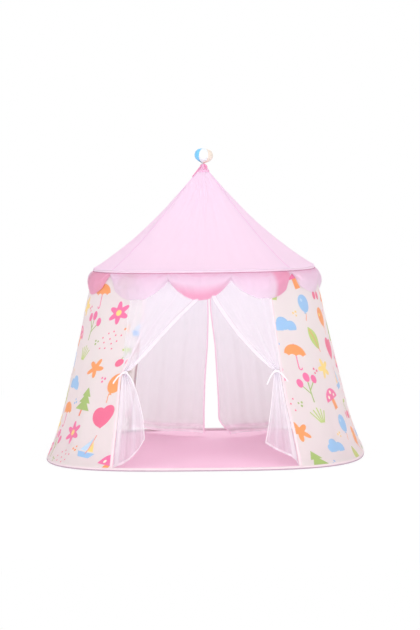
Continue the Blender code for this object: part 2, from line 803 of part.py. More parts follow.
def make_front_header():
    foot = WALL_TOP - HEADER_DEPTH
    facets = [share * EIGHTH_ANGLE for share in SIDE_STATION_SHARES[1:3]]

    def place(u, v, depth):
        z = mix(foot, WALL_TOP, v)
        half = [*facets, jamb_angle(z) - 2 * seam_turn(wall_half(z))]
        stations = [-turn for turn in reversed(half)] + [0, *half]
        turn = stations[round(u * (len(stations) - 1))]
        return wall_point(turn - QUARTER_ANGLE, z, CLOTH * depth)

    cloth("header_front", "wall_cloth", 2 * len(facets) + 2, 1, place)


def jamb_edge(z):
    """Where a net's edge meets the edge of the jamb, at the front right."""
    turn = jamb_angle(z) - EDGE_GAP / wall_half(z)
    return wall_point(turn - QUARTER_ANGLE, z, CLOTH / 2)


class Hinge:
    """The straight line down a jamb that a net swings on, for the front right."""

    def __init__(self, top_height, foot_height):
        self.top = jamb_edge(top_height)
        self.foot = jamb_edge(foot_height)
        self.along = (self.top - self.foot).normalized()
        heights = [mix(foot_height, top_height, k / HINGE_CHECKS) for k in range(HINGE_CHECKS + 1)]
        past = max(self.past_jamb(z) for z in heights)
        for end in (self.top, self.foot):
            end.x -= past

    def at(self, z):
        return self.foot + self.along * ((z - self.foot.z) / self.along.z)

    def past_jamb(self, z):
        """How far the straight line runs past the curved jamb's edge at this height."""
        line, edge = self.at(z), jamb_edge(z)
        return (math.atan2(line.x, -line.y) - math.atan2(edge.x, -edge.y)) * line.xy.length


def front_hinge():
    return Hinge(TIE_HEIGHT, WALL_FOOT + TAIL_FOOT_CLEARANCE)


def rear_hinge():
    return Hinge(WALL_TOP - REAR_HEADING_DEPTH, REAR_HEM_HEIGHT)


def bunch_frame():
    """Centre of the tied bunch at the front right and its width, depth and length directions."""
    hinge = front_hinge()
    along = hinge.along
    wide = (Vector((-1, 0, 0)) - along * -along.x).normalized()
    deep = along.cross(wide).normalized()
    deep = deep if deep.y > 0 else -deep
    centre = hinge.top + wide * (BUNCH_HALF_WIDTH + TIE_BAND_WALL + 3 * SEAT_GAP)
    return centre, wide, deep, along


def bunch_point(u, depth, shift):
    """A point round the bunch's section, moved along it by shift."""
    centre, wide, deep, along = bunch_frame()
    across = 2 * u - 1
    thick = NET / 2 + (BUNCH_HALF_DEPTH - NET / 2) * math.sqrt(max(0.0, 1 - across * across))
    return centre + wide * (BUNCH_HALF_WIDTH * across) + deep * (thick * mix(-1, 1, depth)) + along * shift


def make_front_net(side):
    """From the doorway's head and jamb it gathers down to just above the tie."""
    head = WALL_TOP - HEADER_DEPTH - SEAT_GAP

    def place(u, v, depth):
        down = 1 - v
        end = bunch_point(u, depth, BUNCH_SPLIT + SEAT_GAP)
        z = mix(head, end.z, down) - HEM_SAG * math.sin(math.pi * down) * u * u
        edge = jamb_edge(z)
        spread = (edge.x - NET_PARTING) * u
        gathered = jamb_edge(end.z).x - end.x
        x = edge.x - mix(spread, gathered, down)
        fold = NET_FOLD * math.sin(math.pi * down) ** 0.7 * (1 - math.cos(math.tau * NET_FOLDS * u)) / 2
        roll = NET_HEM_ROLL * u**8
        inset = (CLOTH - NET) / 2 + fold + (NET + roll) * depth
        return mirrored(front_point(x, z, inset).lerp(end, down**6), side)

    cloth(f"net_front_{side}", "net", 4 * NET_FOLDS, 8, place)


def make_net_tail(side):
    """Through the tie, then fanned out to a hem that rises from the jamb to the free corner."""
    shape = TAILS[side]
    hinge = front_hinge()
    centre = bunch_frame()[0]
    rows = 9

    def place(u, v, depth):
        row = round(v * rows)
        if row == rows:
            return mirrored(bunch_point(u, depth, BUNCH_SPLIT), side)
        down = 1 - row / (rows - 1)
        start = bunch_point(u, depth, -TIE_BAND_HEIGHT / 2 - SEAT_GAP)
        hem = mix(hinge.foot.z, TIE_HEIGHT * shape["rise_share"], u**HEM_RISE_POWER)
        z = mix(start.z, hem, down)
        edge = hinge.at(z)
        corner_x = DOOR_FOOT_HALF_WIDTH * shape["corner_share"]
        free_x = mix(start.x, corner_x, down ** shape["spread_power"])
        x = mix(edge.x, free_x, u) if down > 0 else start.x
        y = mix(edge.y, centre.y, u**TAIL_BOW_POWER)
        fold = TAIL_FOLD * down**TAIL_FOLD_POWER * math.sin(math.tau * TAIL_FOLDS * u) * min(1.0, 4 * u)
        y += fold + NET / 2 * mix(-1, 1, depth)
        blend = (1 - down) ** 5
        return mirrored(Vector((x, y, z)).lerp(Vector((start.x, start.y, z)), blend), side)

    tail = cloth(f"net_tail_{side}", "net", 4 * TAIL_FOLDS, rows, place)
    rehang(tail, mirrored(hinge.top, side))


def rehang(obj, pivot):
    """Moves the object's origin to a point on its hinge, with the form left in place."""
    obj.data.transform(Matrix.Translation(-pivot))
    obj.location = pivot


def rear_net_point(u, z, side, depth, fold_share):
    """The rear net between its jamb and its free edge, which hangs plumb from the head."""
    shape = REAR_NETS[side]
    edge = jamb_edge(z) if z > rear_hinge().top.z else rear_hinge().at(z)
    head = front_point(0, WALL_TOP, CLOTH + SEAT_GAP + NET / 2)
    down = min(1.0, max(0.0, (WALL_TOP - z) / (WALL_TOP - REAR_HEM_HEIGHT)))
    free_x = mix(shape["top_x"], shape["foot_x"], down)
    free_y = head.y + shape["foot_kick"] * down**4
    x = mix(edge.x, free_x, u)
    bow = math.sin(u * QUARTER_ANGLE) ** REAR_BOW_POWER
    y = mix(edge.y, free_y, bow)
    y += fold_share * REAR_FOLD * math.sin(math.tau * REAR_FOLDS * u) * min(1.0, 5 * u)
    return Vector((x, y + NET / 2 * mix(-1, 1, depth), z))


def swing_plane_height(u, side):
    """Height at which the net is split, square to its hinge, so that it swings clear."""
    hinge = rear_hinge()
    z = hinge.top.z
    for _ in range(6):
        place = rear_net_point(u, z, side, 0.5, 1)
        z -= (place - hinge.top).dot(hinge.along) / hinge.along.z
    return z


def make_rear_header():
    """The head of the rear doorway, with the gathered heading of both nets."""
    def place(u, v, depth):
        side = "left" if u < 0.5 else "right"
        share = 1 - abs(2 * u - 1)
        split = swing_plane_height(share, side) + SEAT_GAP
        z = mix(split, WALL_TOP, v)
        limit = jamb_angle(z) - EDGE_GAP / wall_half(z)
        wall = wall_point(limit * (1 - share) - QUARTER_ANGLE, z, CLOTH * depth)
        net = rear_net_point(share, z, side, depth, 1)
        blend = min(1.0, max(0.0, (WALL_TOP - z) / HEADER_DEPTH)) ** 2
        net.x = wall.x if share == 1 else net.x
        return mirrored(wall.lerp(net, blend), side, "rear")

    cloth("header_rear", "wall_cloth", 8 * REAR_FOLDS, 4, place)


def make_rear_net(side):
    hinge = rear_hinge()

    def place(u, v, depth):
        top = swing_plane_height(u, side) - SEAT_GAP
        z = mix(REAR_HEM_HEIGHT, top, v)
        return mirrored(rear_net_point(u, z, side, depth, 1), side, "rear")

    net = cloth(f"net_rear_{side}", "net", 4 * REAR_FOLDS, 6, place)
    rehang(net, mirrored(hinge.top, side, "rear"))


# Ties


def mirror_mesh(obj):
    """Turns the whole object into its mirror image across the tent's middle."""
    obj.matrix_world = Matrix.Scale(-1, 4, Vector((1, 0, 0))) @ obj.matrix_world


def make_tie(side):
    """A ribbon round the bunch close to the jamb, knotted in front."""
    centre, wide, deep, along = bunch_frame()
    centre = centre.copy()
    frame = Matrix((wide, deep, along)).transposed().to_4x4()
    frame.translation = centre
    inner = (BUNCH_HALF_WIDTH + 2 * SEAT_GAP, BUNCH_HALF_DEPTH + 2 * SEAT_GAP)
    bodies = []
    for name, wall in ((f"tie_{side}", TIE_BAND_WALL), (f"tie_hole_{side}", 0)):
        height = TIE_BAND_HEIGHT * (1 if wall else 2)
        bpy.ops.mesh.primitive_cylinder_add(vertices=16, radius=1, depth=height)
        body = place_object(bpy.context.object, name, "ribbon" if wall else None)
        body.data.transform(Matrix.Diagonal((inner[0] + wall, inner[1] + wall, 1, 1)))
        bodies.append(body)
    band, hole = bodies
    bpy.ops.mesh.primitive_uv_sphere_add(segments=10, ring_count=6, radius=1)
    knot = place_object(bpy.context.object, f"tie_knot_{side}")
    knot_place = Vector((inner[0] * KNOT_OFFSET_SHARE, -inner[1] - KNOT_SIZE[1] * KNOT_LEAD_SHARE, 0))
    knot.data.transform(Matrix.Translation(knot_place) @ Matrix.Diagonal((*KNOT_SIZE, 1)))
    for obj in (band, hole, knot):
        obj.matrix_world = frame
        if side == "left":
            mirror_mesh(obj)
    combine(band, "UNION", [knot])
    combine(band, "DIFFERENCE", [hole])


def knot_front():
    """Front of the tie's knot at the front right."""
    centre, wide, deep, _ = bunch_frame()
    out = BUNCH_HALF_DEPTH + SEAT_GAP + KNOT_SIZE[1] * (1 + KNOT_LEAD_SHARE)
    return centre + wide * ((BUNCH_HALF_WIDTH + SEAT_GAP) * KNOT_OFFSET_SHARE) - deep * out


def smooth_route(points, step):
    """Points a step apart on a smooth curve through the given ones."""
    ends = [points[0] * 2 - points[1], *points, points[-1] * 2 - points[-2]]
    fine = []
    for a, b, c, d in zip(ends, ends[1:], ends[2:], ends[3:]):
        for k in range(8):
            t = k / 8
            bend, twist = a * 2 - b * 5 + c * 4 - d, b * 3 - a - c * 3 + d
            fine.append((b * 2 + (c - a) * t + bend * t * t + twist * t**3) / 2)
    fine.append(points[-1])
    length = sum((q - p).length for p, q in zip(fine, fine[1:]))
    count = max(2, round(length / step))
    spaced, walked, target = [fine[0]], 0.0, length / count
    for p, q in zip(fine, fine[1:]):
        span = (q - p).length
        while span and walked + span >= target * len(spaced) - 1e-9 and len(spaced) < count:
            spaced.append(p.lerp(q, (target * len(spaced) - walked) / span))
        walked += span
    return [*spaced, fine[-1]]


def make_ribbon(side, which):
    start = knot_front() + Vector((0, -RIBBON_RADIUS - SEAT_GAP, 0))
    route = [mirrored(start + Vector(p), side) for p in RIBBONS[which]]
    tube(f"ribbon_{which}_{side}", "ribbon", smooth_route(route, RIBBON_STEP), RIBBON_RADIUS, 2)


def make_soft_goods():
    for side in SIDES:
        make_roof_panel(side)
        make_valance(side)
    for side in ("left", "right"):
        make_side_wall(side)
        for end in ("front", "rear"):
            make_corner_wall(end, side)
        make_front_net(side)
        make_net_tail(side)
        make_rear_net(side)
        make_tie(side)
        for which in RIBBONS:
            make_ribbon(side, which)
    make_front_header()
    make_rear_header()
    make_cap()
    make_ball()


make_hems()
make_floor()
make_frame()
make_soft_goods()
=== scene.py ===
"""Children's play tent: printed walls, pink pagoda roof with a scalloped valance, net curtains."""

import math
from math import pi, tau

import bpy
import numpy as np
from mathutils import Matrix, Vector


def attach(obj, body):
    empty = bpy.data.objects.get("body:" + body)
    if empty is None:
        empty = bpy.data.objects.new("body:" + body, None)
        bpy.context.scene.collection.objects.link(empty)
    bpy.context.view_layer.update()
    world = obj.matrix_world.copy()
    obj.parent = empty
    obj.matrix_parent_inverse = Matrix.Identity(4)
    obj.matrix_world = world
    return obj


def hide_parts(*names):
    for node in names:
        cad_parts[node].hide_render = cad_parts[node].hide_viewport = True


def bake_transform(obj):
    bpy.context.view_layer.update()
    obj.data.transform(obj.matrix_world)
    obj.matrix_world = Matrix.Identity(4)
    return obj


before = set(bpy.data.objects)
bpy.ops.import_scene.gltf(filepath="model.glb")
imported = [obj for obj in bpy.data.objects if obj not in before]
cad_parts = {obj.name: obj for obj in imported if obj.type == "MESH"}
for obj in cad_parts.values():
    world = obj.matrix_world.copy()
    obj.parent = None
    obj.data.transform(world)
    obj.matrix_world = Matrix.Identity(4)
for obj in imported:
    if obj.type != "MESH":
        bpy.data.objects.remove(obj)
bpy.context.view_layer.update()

# Camera, at the photograph's angle

YAW = math.radians(2.15)
ROLL = math.radians(-0.8)
DISTANCE = 9.0
EYE_HEIGHT, AIM_HEIGHT = 1.18, 0.606
AXIS_LEFT_OF_MIDDLE = 0.0224
LENS, SENSOR_WIDTH = 115, 36


def place_camera():
    data = bpy.data.cameras.new("camera")
    data.lens = LENS
    data.sensor_width = SENSOR_WIDTH
    camera = bpy.data.objects.new("camera", data)
    bpy.context.collection.objects.link(camera)
    right = Vector((math.cos(YAW), math.sin(YAW), 0))
    away = Vector((math.sin(YAW), -math.cos(YAW), 0))
    aim = right * AXIS_LEFT_OF_MIDDLE + Vector((0, 0, AIM_HEIGHT))
    camera.location = away * DISTANCE + right * AXIS_LEFT_OF_MIDDLE + Vector((0, 0, EYE_HEIGHT))
    level = (aim - camera.location).to_track_quat("-Z", "Y").to_matrix()
    camera.rotation_euler = (level @ Matrix.Rotation(ROLL, 3, "Z")).to_euler()
    bpy.context.scene.camera = camera


place_camera()

# The tent's forms, the same as the CAD model's

WALL_TOP, WALL_FOOT = 0.81463, 0.01404
WALL_TOP_HALF, WALL_FOOT_HALF = 0.48921, 0.69567
EAVE_RING, EAVE_HEIGHT = 0.4871, 0.820
BASE_RING, BASE_HEIGHT = 0.6929, 0.0071
ROOF_FOOT, ROOF_RISE, ROOF_SAG = 0.82737, 0.450, 0.0455
EAVE_ROUND, BASE_ROUND, TIP_ROUND = 0.355, 0.300, 0.060
DOOR_TOP_HALF, DOOR_FOOT_HALF = 0.281, 0.390
FLARE_SHARE, FLARE_POWER = 0.13, 10
SAG_POWER = 0.75
KNOT_HEIGHT = 1.28227
NET_TOP = WALL_TOP - 0.004


def mix(a, b, share):
    return a + (b - a) * share


def ramp(value):
    """Holds a slope of values between 0 and 1."""
    return np.clip(value, 0, 1)


def bell(value, middle, width):
    """1 at the middle, falling softly to 0 either side of it."""
    return np.exp(-(((value - middle) / width) ** 2))


SIDES, ENDS = ("left", "right"), {"front": 1, "rear": -1}


def points_at(x, y, z):
    return np.stack(np.broadcast_arrays(x, y, z), axis=-1)


def outwards(side):
    """Which way along X this side lies from the middle."""
    return 1 if side == "right" else -1


def plan(turn, half, roundness):
    """A point on the rounded square; turn runs from the front's middle to the right."""
    s, c = np.sin(turn), np.cos(turn)
    reach = half / (np.abs(s) ** (1 / roundness) + np.abs(c) ** (1 / roundness)) ** roundness
    return reach * s, -reach * c


def drop_share(z):
    """How far down the wall this height is, from 0 at its top to 1 at its foot."""
    return ramp((WALL_TOP - z) / (WALL_TOP - WALL_FOOT))


def wall_half(z):
    drop = drop_share(z)
    return mix(WALL_TOP_HALF, WALL_FOOT_HALF, mix(drop, drop**FLARE_POWER, FLARE_SHARE))


def wall_round(z):
    return mix(EAVE_ROUND, BASE_ROUND, drop_share(z))


def wall(turn, z, out=0.0):
    """A point on the wall's surface, or out from it."""
    x, y = plan(turn, wall_half(z) + out, wall_round(z))
    return points_at(x, y, z)


def front(x, z, out=0.0):
    """The front wall's surface over this x, also across the doorway."""
    power = 1 / wall_round(z)
    half = wall_half(z) + out
    y = -np.maximum(half**power - np.abs(x) ** power, 1e-9) ** (1 / power)
    return points_at(x, y, z)


def jamb_x(z):
    """The doorway's half width in the CAD model."""
    return mix(DOOR_TOP_HALF, DOOR_FOOT_HALF, drop_share(z))


def turn_at(x, z):
    place = front(x, z)
    return np.arctan2(place[..., 0], -place[..., 1])


def jamb_turn(z):
    return turn_at(jamb_x(z), z)


def curve(z, knots):
    """A smooth line through (z, value) knots, given from the lowest up."""
    heights, values = np.array(knots).T
    fine = np.linspace(heights[0], heights[-1], 241)
    smoothed = np.interp(fine, heights, values)
    for _ in range(30):
        smoothed[1:-1] = (smoothed[:-2] + smoothed[2:] + 2 * smoothed[1:-1]) / 4
    return np.interp(z, fine, smoothed)


FRONT_JAMB = {
    "left": [
        (0.00, 0.369), (0.10, 0.362), (0.25, 0.347), (0.38, 0.337),
        (0.46, 0.296), (0.54, 0.252), (0.65, 0.235), (0.83, 0.233),
    ],
    "right": [
        (0.00, 0.412), (0.05, 0.405), (0.17, 0.381), (0.27, 0.358),
        (0.40, 0.336), (0.52, 0.319), (0.70, 0.296), (0.83, 0.281),
    ],
}


def front_jamb_x(side, z):
    """Where the front wall's free edge shows, which differs from left to right."""
    return curve(z, FRONT_JAMB[side])


def roof(turn, share, lift=0.0):
    """A point on the roof, from 0 at the eave to 1 at the tip."""
    half = WALL_TOP_HALF * (1 - share) - ROOF_SAG * np.sin(pi * share**SAG_POWER)
    x, y = plan(turn, half + lift, mix(EAVE_ROUND, TIP_ROUND, share))
    return points_at(x, y, ROOF_FOOT + ROOF_RISE * share + lift)


def ripple(*waves):
    """Sums soft waves, each given as (amount, phase over the surface)."""
    return sum(amount * np.sin(phase) for amount, phase in waves)


# Making and finishing pieces


def select(*objects):
    """Selects these objects alone, or nothing, with the first one active."""
    bpy.ops.object.select_all(action="DESELECT")
    for obj in objects:
        obj.select_set(True)
    if objects:
        bpy.context.view_layer.objects.active = objects[0]


def finish_piece(obj, material, slot, body, *replaced):
    """Gives a piece its material and its body, and hides the CAD nodes that it stands for.

    Cloth that hangs across a joint has (one body, the other, start, end) as its body, and is left where it
    stands, on neither body.
    """
    obj.data.materials.clear()
    if isinstance(body, tuple):
        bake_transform(obj)
    else:
        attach(obj, body)
    if replaced:
        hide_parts(*replaced)
    obj.data.materials.append(material)


def apply_all(obj):
    select(obj)
    for modifier in list(obj.modifiers):
        bpy.ops.object.modifier_apply(modifier=modifier.name)
    bpy.ops.object.transform_apply(location=True, rotation=True, scale=True)


def smooth(obj, angle=60):
    select(obj)
    bpy.ops.object.shade_smooth_by_angle(angle=math.radians(angle))


def corner_points(obj):
    """The point that each corner of a face stands on."""
    corners = np.empty(len(obj.data.loops), dtype=np.int32)
    obj.data.loops.foreach_get("vertex_index", corners)
    return corners


def lengths_along(points, axis):
    """Distance walked along one way of a grid of points."""
    steps = np.linalg.norm(np.diff(points, axis=axis), axis=-1)
    pad = [(0, 0), (0, 0)]
    pad[axis] = (1, 0)
    return np.pad(np.cumsum(steps, axis=axis), pad)


def grid(columns, rows):
    return np.meshgrid(np.linspace(0, 1, columns + 1), np.linspace(0, 1, rows + 1))


def cloth(name, columns, rows, place, thickness=0.0, outward=True):
    """A sheet of cloth from a grid, where place gives the points for shares u across and v up.

    Its UV map is the distance along the cloth, in metres, from the sheet's middle and foot.
    """
    select()
    bpy.ops.mesh.primitive_grid_add(x_subdivisions=columns, y_subdivisions=rows, size=2)
    obj = bpy.context.object
    obj.name = obj.data.name = name
    flat = np.empty(len(obj.data.vertices) * 3)
    obj.data.vertices.foreach_get("co", flat)
    flat = flat.reshape(-1, 3)
    i = np.rint((flat[:, 0] + 1) / 2 * columns).astype(int)
    j = np.rint((flat[:, 1] + 1) / 2 * rows).astype(int)
    points = place(*grid(columns, rows))
    obj.data.vertices.foreach_set("co", points[j, i].ravel())
    along, up = lengths_along(points, 1), lengths_along(points, 0)
    middle = columns // 2
    along = along - along[:, middle : middle + 1]
    uv = np.stack([along[j, i], up[j, i]], axis=-1)[corner_points(obj)]
    obj.data.uv_layers.active.data.foreach_set("uv", uv.ravel())
    obj.data.update()
    if not outward:
        obj.data.flip_normals()
    if thickness:
        solid = obj.modifiers.new("thickness", "SOLIDIFY")
        solid.thickness = thickness
        solid.offset = -1
    apply_all(obj)
    smooth(obj)
    return obj


def write_values(obj, name, *layers):
    """Writes a value for each point of each layer of cloth, which the material reads by name."""
    attribute = obj.data.attributes.new(name, "FLOAT", "POINT")
    attribute.data.foreach_set("value", np.stack(layers).astype(np.float32).ravel())


def cord_mesh(name, points, radius, closed=False, sides=8):
    """A round cord along points, as a mesh."""
    curve = bpy.data.curves.new(name, "CURVE")
    curve.dimensions = "3D"
    curve.bevel_depth = radius
    curve.bevel_resolution = sides // 4
    curve.use_fill_caps = not closed
    spline = curve.splines.new("POLY")
    spline.points.add(len(points) - 1)
    for target, point in zip(spline.points, points):
        target.co = (*point, 1)
    spline.use_cyclic_u = closed
    obj = bpy.data.objects.new(name, curve)
    bpy.context.collection.objects.link(obj)
    select(obj)
    bpy.ops.object.convert(target="MESH")
    smooth(bpy.context.object)
    return bpy.context.object


def join(name, *objects):
    select(*objects)
    bpy.ops.object.join()
    obj = bpy.context.object
    obj.name = obj.data.name = name
    return obj


def declare_sheet(obj, length=None):
    """Takes the cloth's length, its height unless one is given, and does nothing further with it."""
    length = length or obj.dimensions.z


# Materials


def srgb(r, g, b):
    def one(c):
        c /= 255
        return c / 12.92 if c <= 0.04045 else ((c + 0.055) / 1.055) ** 2.4

    return one(r), one(g), one(b), 1.0


def operator(operation):
    """A method that adds a Math node."""
    return lambda value, *others: value.math(operation, *others)


class Value:
    """A number that varies over the surface; sums and products of it add Math nodes."""

    def __init__(self, paint, socket):
        self.paint, self.socket = paint, socket

    def math(self, operation, *others):
        return Value(self.paint, self.paint.add("Math", {"operation": operation}, self, *others).outputs[0])

    __add__ = __radd__ = operator("ADD")
    __sub__ = operator("SUBTRACT")
    __mul__ = __rmul__ = operator("MULTIPLY")
    __truediv__ = operator("DIVIDE")
    __pow__ = operator("POWER")
    __lt__ = operator("LESS_THAN")
    __gt__ = operator("GREATER_THAN")
    __or__ = operator("MAXIMUM")
    __abs__ = operator("ABSOLUTE")
    sin = operator("SINE")
    cos = operator("COSINE")
    turn_from = operator("ARCTAN2")
    root = operator("SQRT")
    fract = operator("FRACT")

    def __rsub__(self, other):
        return self * -1 + other

    def clamp(self):
        return Value(self.paint, self.paint.add("Clamp", None, self).outputs[0])


class Shading:
    """A tree of shader nodes, built up from values and colours."""

    def __init__(self, owner, output):
        owner.use_nodes = True
        self.tree = owner.node_tree
        self.output = self.tree.nodes[output]

    def feed(self, slot, value):
        if isinstance(value, Value):
            value = value.socket
        if isinstance(value, bpy.types.NodeSocket):
            self.tree.links.new(value, slot)
        else:
            slot.default_value = value

    def fill(self, node, **by_name):
        for name, value in by_name.items():
            self.feed(node.inputs[name.replace("_", " ")], value)

    def add(self, kind, settings=None, *in_order, **by_name):
        """Adds a node: its settings first, then the sockets in use, in their order or by name."""
        node = self.tree.nodes.new("ShaderNode" + kind)
        for key, value in (settings or {}).items():
            setattr(node, key, value)
        in_use = [slot for slot in node.inputs if slot.enabled]
        for slot, value in zip(in_use, in_order):
            self.feed(slot, value)
        self.fill(node, **by_name)
        return node

    def read(self, source):
        """The place on the piece, as x, y and z in metres, or along its cloth."""
        vector = self.add("TexCoord").outputs[source]
        return [Value(self, part) for part in self.add("SeparateXYZ", None, vector).outputs]

    def attribute(self, name):
        return Value(self, self.add("Attribute", {"attribute_name": name}).outputs["Fac"])

    def noise(self, scale, detail=3.0, source="Object", stretch=None):
        vector = self.add("TexCoord").outputs[source]
        if stretch:
            vector = self.add("Mapping", Vector=vector, Scale=stretch).outputs[0]
        return Value(self, self.add("TexNoise", Vector=vector, Scale=scale, Detail=detail).outputs["Fac"])

    def layered(self, base, layers):
        """A colour with others laid over it, each given as (colour, share)."""
        for colour, share in layers:
            mixed = self.add("Mix", {"data_type": "RGBA"}, share, base, colour)
            base = mixed.outputs[2]
        return base

    def light_through(self, base, layers=()):
        """The same layers of colour, in the light that comes through thin cloth."""
        shown = self.add("BsdfTranslucent", Color=base).outputs[0]
        for colour, share in layers:
            over = self.add("BsdfTranslucent", Color=colour).outputs[0]
            shown = self.mix_shader(share, shown, over)
        return shown

    def mix_shader(self, share, first, second):
        return self.add("MixShader", None, share, first, second).outputs[0]

    def show(self, share, first, second):
        self.feed(self.output.inputs[0], self.mix_shader(share, first, second))


class Paint(Shading):
    """One material."""

    def __init__(self, name):
        self.material = bpy.data.materials.new(name)
        super().__init__(self.material, "Material Output")
        self.shader = self.tree.nodes["Principled BSDF"]
        self.solid = self.shader.outputs[0]

    def set(self, **by_name):
        self.fill(self.shader, **by_name)

    def bump(self, height, strength, distance):
        self.set(Normal=self.add("Bump", Height=height, Strength=strength, Distance=distance).outputs[0])


def weave(paint, pitch):
    """The over and under of the threads, from the cloth's own UV map."""
    u, v, _ = paint.read("UV")
    wave = tau / pitch
    return (u * wave).sin() * (v * wave).sin()


# Threads, as metres from one to the next, and the light that the printed cloth lets through

PRINT_PITCH, CLOTH_PITCH, NET_PITCH = 0.0022, 0.0020, 0.0030
BARE_CLOTH_LIGHT, INK_SHADE = 0.64, 0.41

# The printed motifs. Each takes places in units of its own size and gives pairs of mask and colour.

ORANGE, CORAL = srgb(247, 148, 56), srgb(240, 110, 60)
PINK, ROSE = srgb(240, 88, 156), srgb(238, 82, 134)
BLUE, PALE_BLUE = srgb(140, 192, 238), srgb(190, 220, 248)
GREEN, LEAF_GREEN = srgb(186, 210, 100), srgb(156, 188, 84)
YELLOW, CREAM = srgb(252, 218, 112), srgb(255, 246, 222)


def disc(x, y, cx, cy, r, squash=1.0):
    dx, dy = x - cx, (y - cy) * squash
    return dx * dx + dy * dy < r * r


def bar(x, y, ax, ay, bx, by, half):
    """A straight stroke from a to b."""
    length = math.hypot(bx - ax, by - ay)
    ex, ey = (bx - ax) / length, (by - ay) / length
    along = (x - ax) * ex + (y - ay) * ey
    across = abs((x - ax) * -ey + (y - ay) * ex)
    return (across < half) * (abs(along - length / 2) < length / 2)


def any_of(*masks):
    first, *rest = masks
    for mask in rest:
        first = first | mask
    return first


def discs(x, y, *places):
    return any_of(*(disc(x, y, *place) for place in places))


def bars(x, y, *places):
    return any_of(*(bar(x, y, *place) for place in places))


def star(x, y, colour, points=5, depth=0.27, core=0.66):
    reach = (x * x + y * y).root()
    return [(reach < (x.turn_from(y) * points).cos() * depth + core, colour)]


def blossom(x, y, colour, middle):
    return star(x, y, colour, 6, 0.22, 0.70) + [(disc(x, y, 0, 0, 0.24), middle)]


def heart(x, y, colour):
    px, py = x * 1.18, y * 1.18 + 0.12
    x2, y2 = px * px, py * py
    return [((x2 + y2 - 1.0) ** 3.0 - x2 * y2 * py < 0.0, colour)]


def cloud(x, y, colour):
    puffs = discs(x, y, (-0.52, -0.16, 0.36), (-0.10, 0.10, 0.46), (0.48, -0.12, 0.40))
    return [(puffs * (y > -0.40), colour)]


def balloon(x, y, colour, shine):
    body = disc(x, y, 0, 0.25, 0.60, 0.84)
    knot = (abs(x) < (y * -1 - 0.40) * 0.9) * (y > -0.58)
    string = (abs(x - (y * 7).sin() * 0.06) < 0.035) * (y < -0.55) * (y > -1.15)
    return [(any_of(body, knot), colour), (string, ORANGE), (disc(x, y, -0.22, 0.48, 0.13), shine)]


def mushroom(x, y, cap, stalk, spots):
    stem = (abs(x) < 0.20 - y * 0.10) * (y > -0.78) * (y < 0.05)
    top = disc(x, y, 0, -0.05, 0.86, 1.1) * (y > -0.06)
    dots = discs(x, y, (-0.40, 0.20, 0.13), (0.05, 0.46, 0.14), (0.42, 0.16, 0.11))
    return [(stem, stalk), (top, cap), (dots, spots)]


def leaf(x, y, colour, vein):
    blade = abs(x) < (1 - y * y) * 0.50
    rib = (abs(x) < 0.035) * (abs(y + 0.20) < 1.0)
    return [(blade, colour), (rib, vein)]


def parasol(x, y, colour, stick):
    hem = abs((x * 5.5).sin()) * 0.14
    canopy = disc(x, y, 0, -0.02, 0.90) * (y > hem)
    pole = (abs(x) < 0.045) * (abs(y - 0.02) < 0.90)
    hook = disc(x, y, 0.13, -0.84, 0.17) * (1 - disc(x, y, 0.13, -0.84, 0.08)) * (y < -0.82)
    return [(any_of(pole, hook), stick), (canopy, colour)]


def cherries(x, y, colour, stalk, leaf_colour):
    fruit = discs(x, y, (-0.42, -0.42, 0.34), (0.40, -0.52, 0.34))
    stems = bars(x, y, (-0.40, -0.15, 0.12, 0.72, 0.045), (0.38, -0.25, 0.12, 0.72, 0.045))
    blade = disc(x, y, 0.44, 0.66, 0.32, 2.1)
    return [(stems, stalk), (fruit, colour), (blade, leaf_colour)]


def boat(x, y, hull, sail, flag):
    body = (abs(x) < 0.52 + (y + 0.75) * 0.75) * (abs(y + 0.55) < 0.20)
    big = (x > 0.06) * (y > -0.25) * (x * 1.35 + y * 0.85 < 0.75)
    small = (x < -0.06) * (y > -0.25) * (x * -1.8 + y * 1.2 < 0.70)
    mast = (abs(x) < 0.035) * (abs(y - 0.25) < 0.72)
    return [(body, hull), (mast, CORAL), (big, sail), (small, flag)]


def seeds(x, y, colour):
    spots = [
        (-0.7, 0.1), (-0.35, 0.6), (-0.3, -0.15), (0.05, 0.25), (0.1, -0.6), (0.4, 0.7), (0.5, -0.1),
        (0.85, 0.3), (-0.6, -0.6), (0.65, -0.65), (-0.9, 0.6), (-0.05, 0.9),
    ]
    return [(discs(x, y, *((cx, cy, 0.075) for cx, cy in spots)), colour)]


def sprig(x, y, stem, bud):
    twigs = bars(x, y, (0, -1.0, 0.0, 0.55, 0.045), (0, -0.45, -0.55, 0.15, 0.04), (0, -0.2, 0.5, 0.42, 0.04))
    buds = discs(x, y, (0, 0.68, 0.25, 0.8), (-0.62, 0.28, 0.23, 0.8), (0.58, 0.55, 0.23, 0.8))
    return [(twigs, stem), (buds, bud)]


def fir(x, y, colour, trunk):
    base = (abs(x) < 0.09) * (y < -0.45) * (y > -1.0)
    tiers = any_of(
        (abs(x) < (0.15 - y) * 0.95 + 0.12) * (abs(y + 0.25) < 0.32),
        (abs(x) < (0.60 - y) * 0.85 + 0.04) * (abs(y - 0.22) < 0.30),
        (abs(x) < (0.98 - y) * 0.75) * (abs(y - 0.68) < 0.31),
    )
    return [(base, trunk), (tiers, colour)]


def grass(x, y, colour):
    tips = (-0.75, -0.38, 0, 0.36, 0.72)
    blades = bars(x, y, *((tip * 0.25, -0.6, tip, 0.25 + 0.4 * (1 - abs(tip)), 0.06) for tip in tips))
    return [(blades, colour)]


def dots(x, y, colour):
    return [(discs(x, y, (-0.5, 0.3, 0.34), (0.5, 0.5, 0.28), (0.1, -0.5, 0.32)), colour)]


# The repeat of the print in metres, with each motif's place, size, turn, form and colours

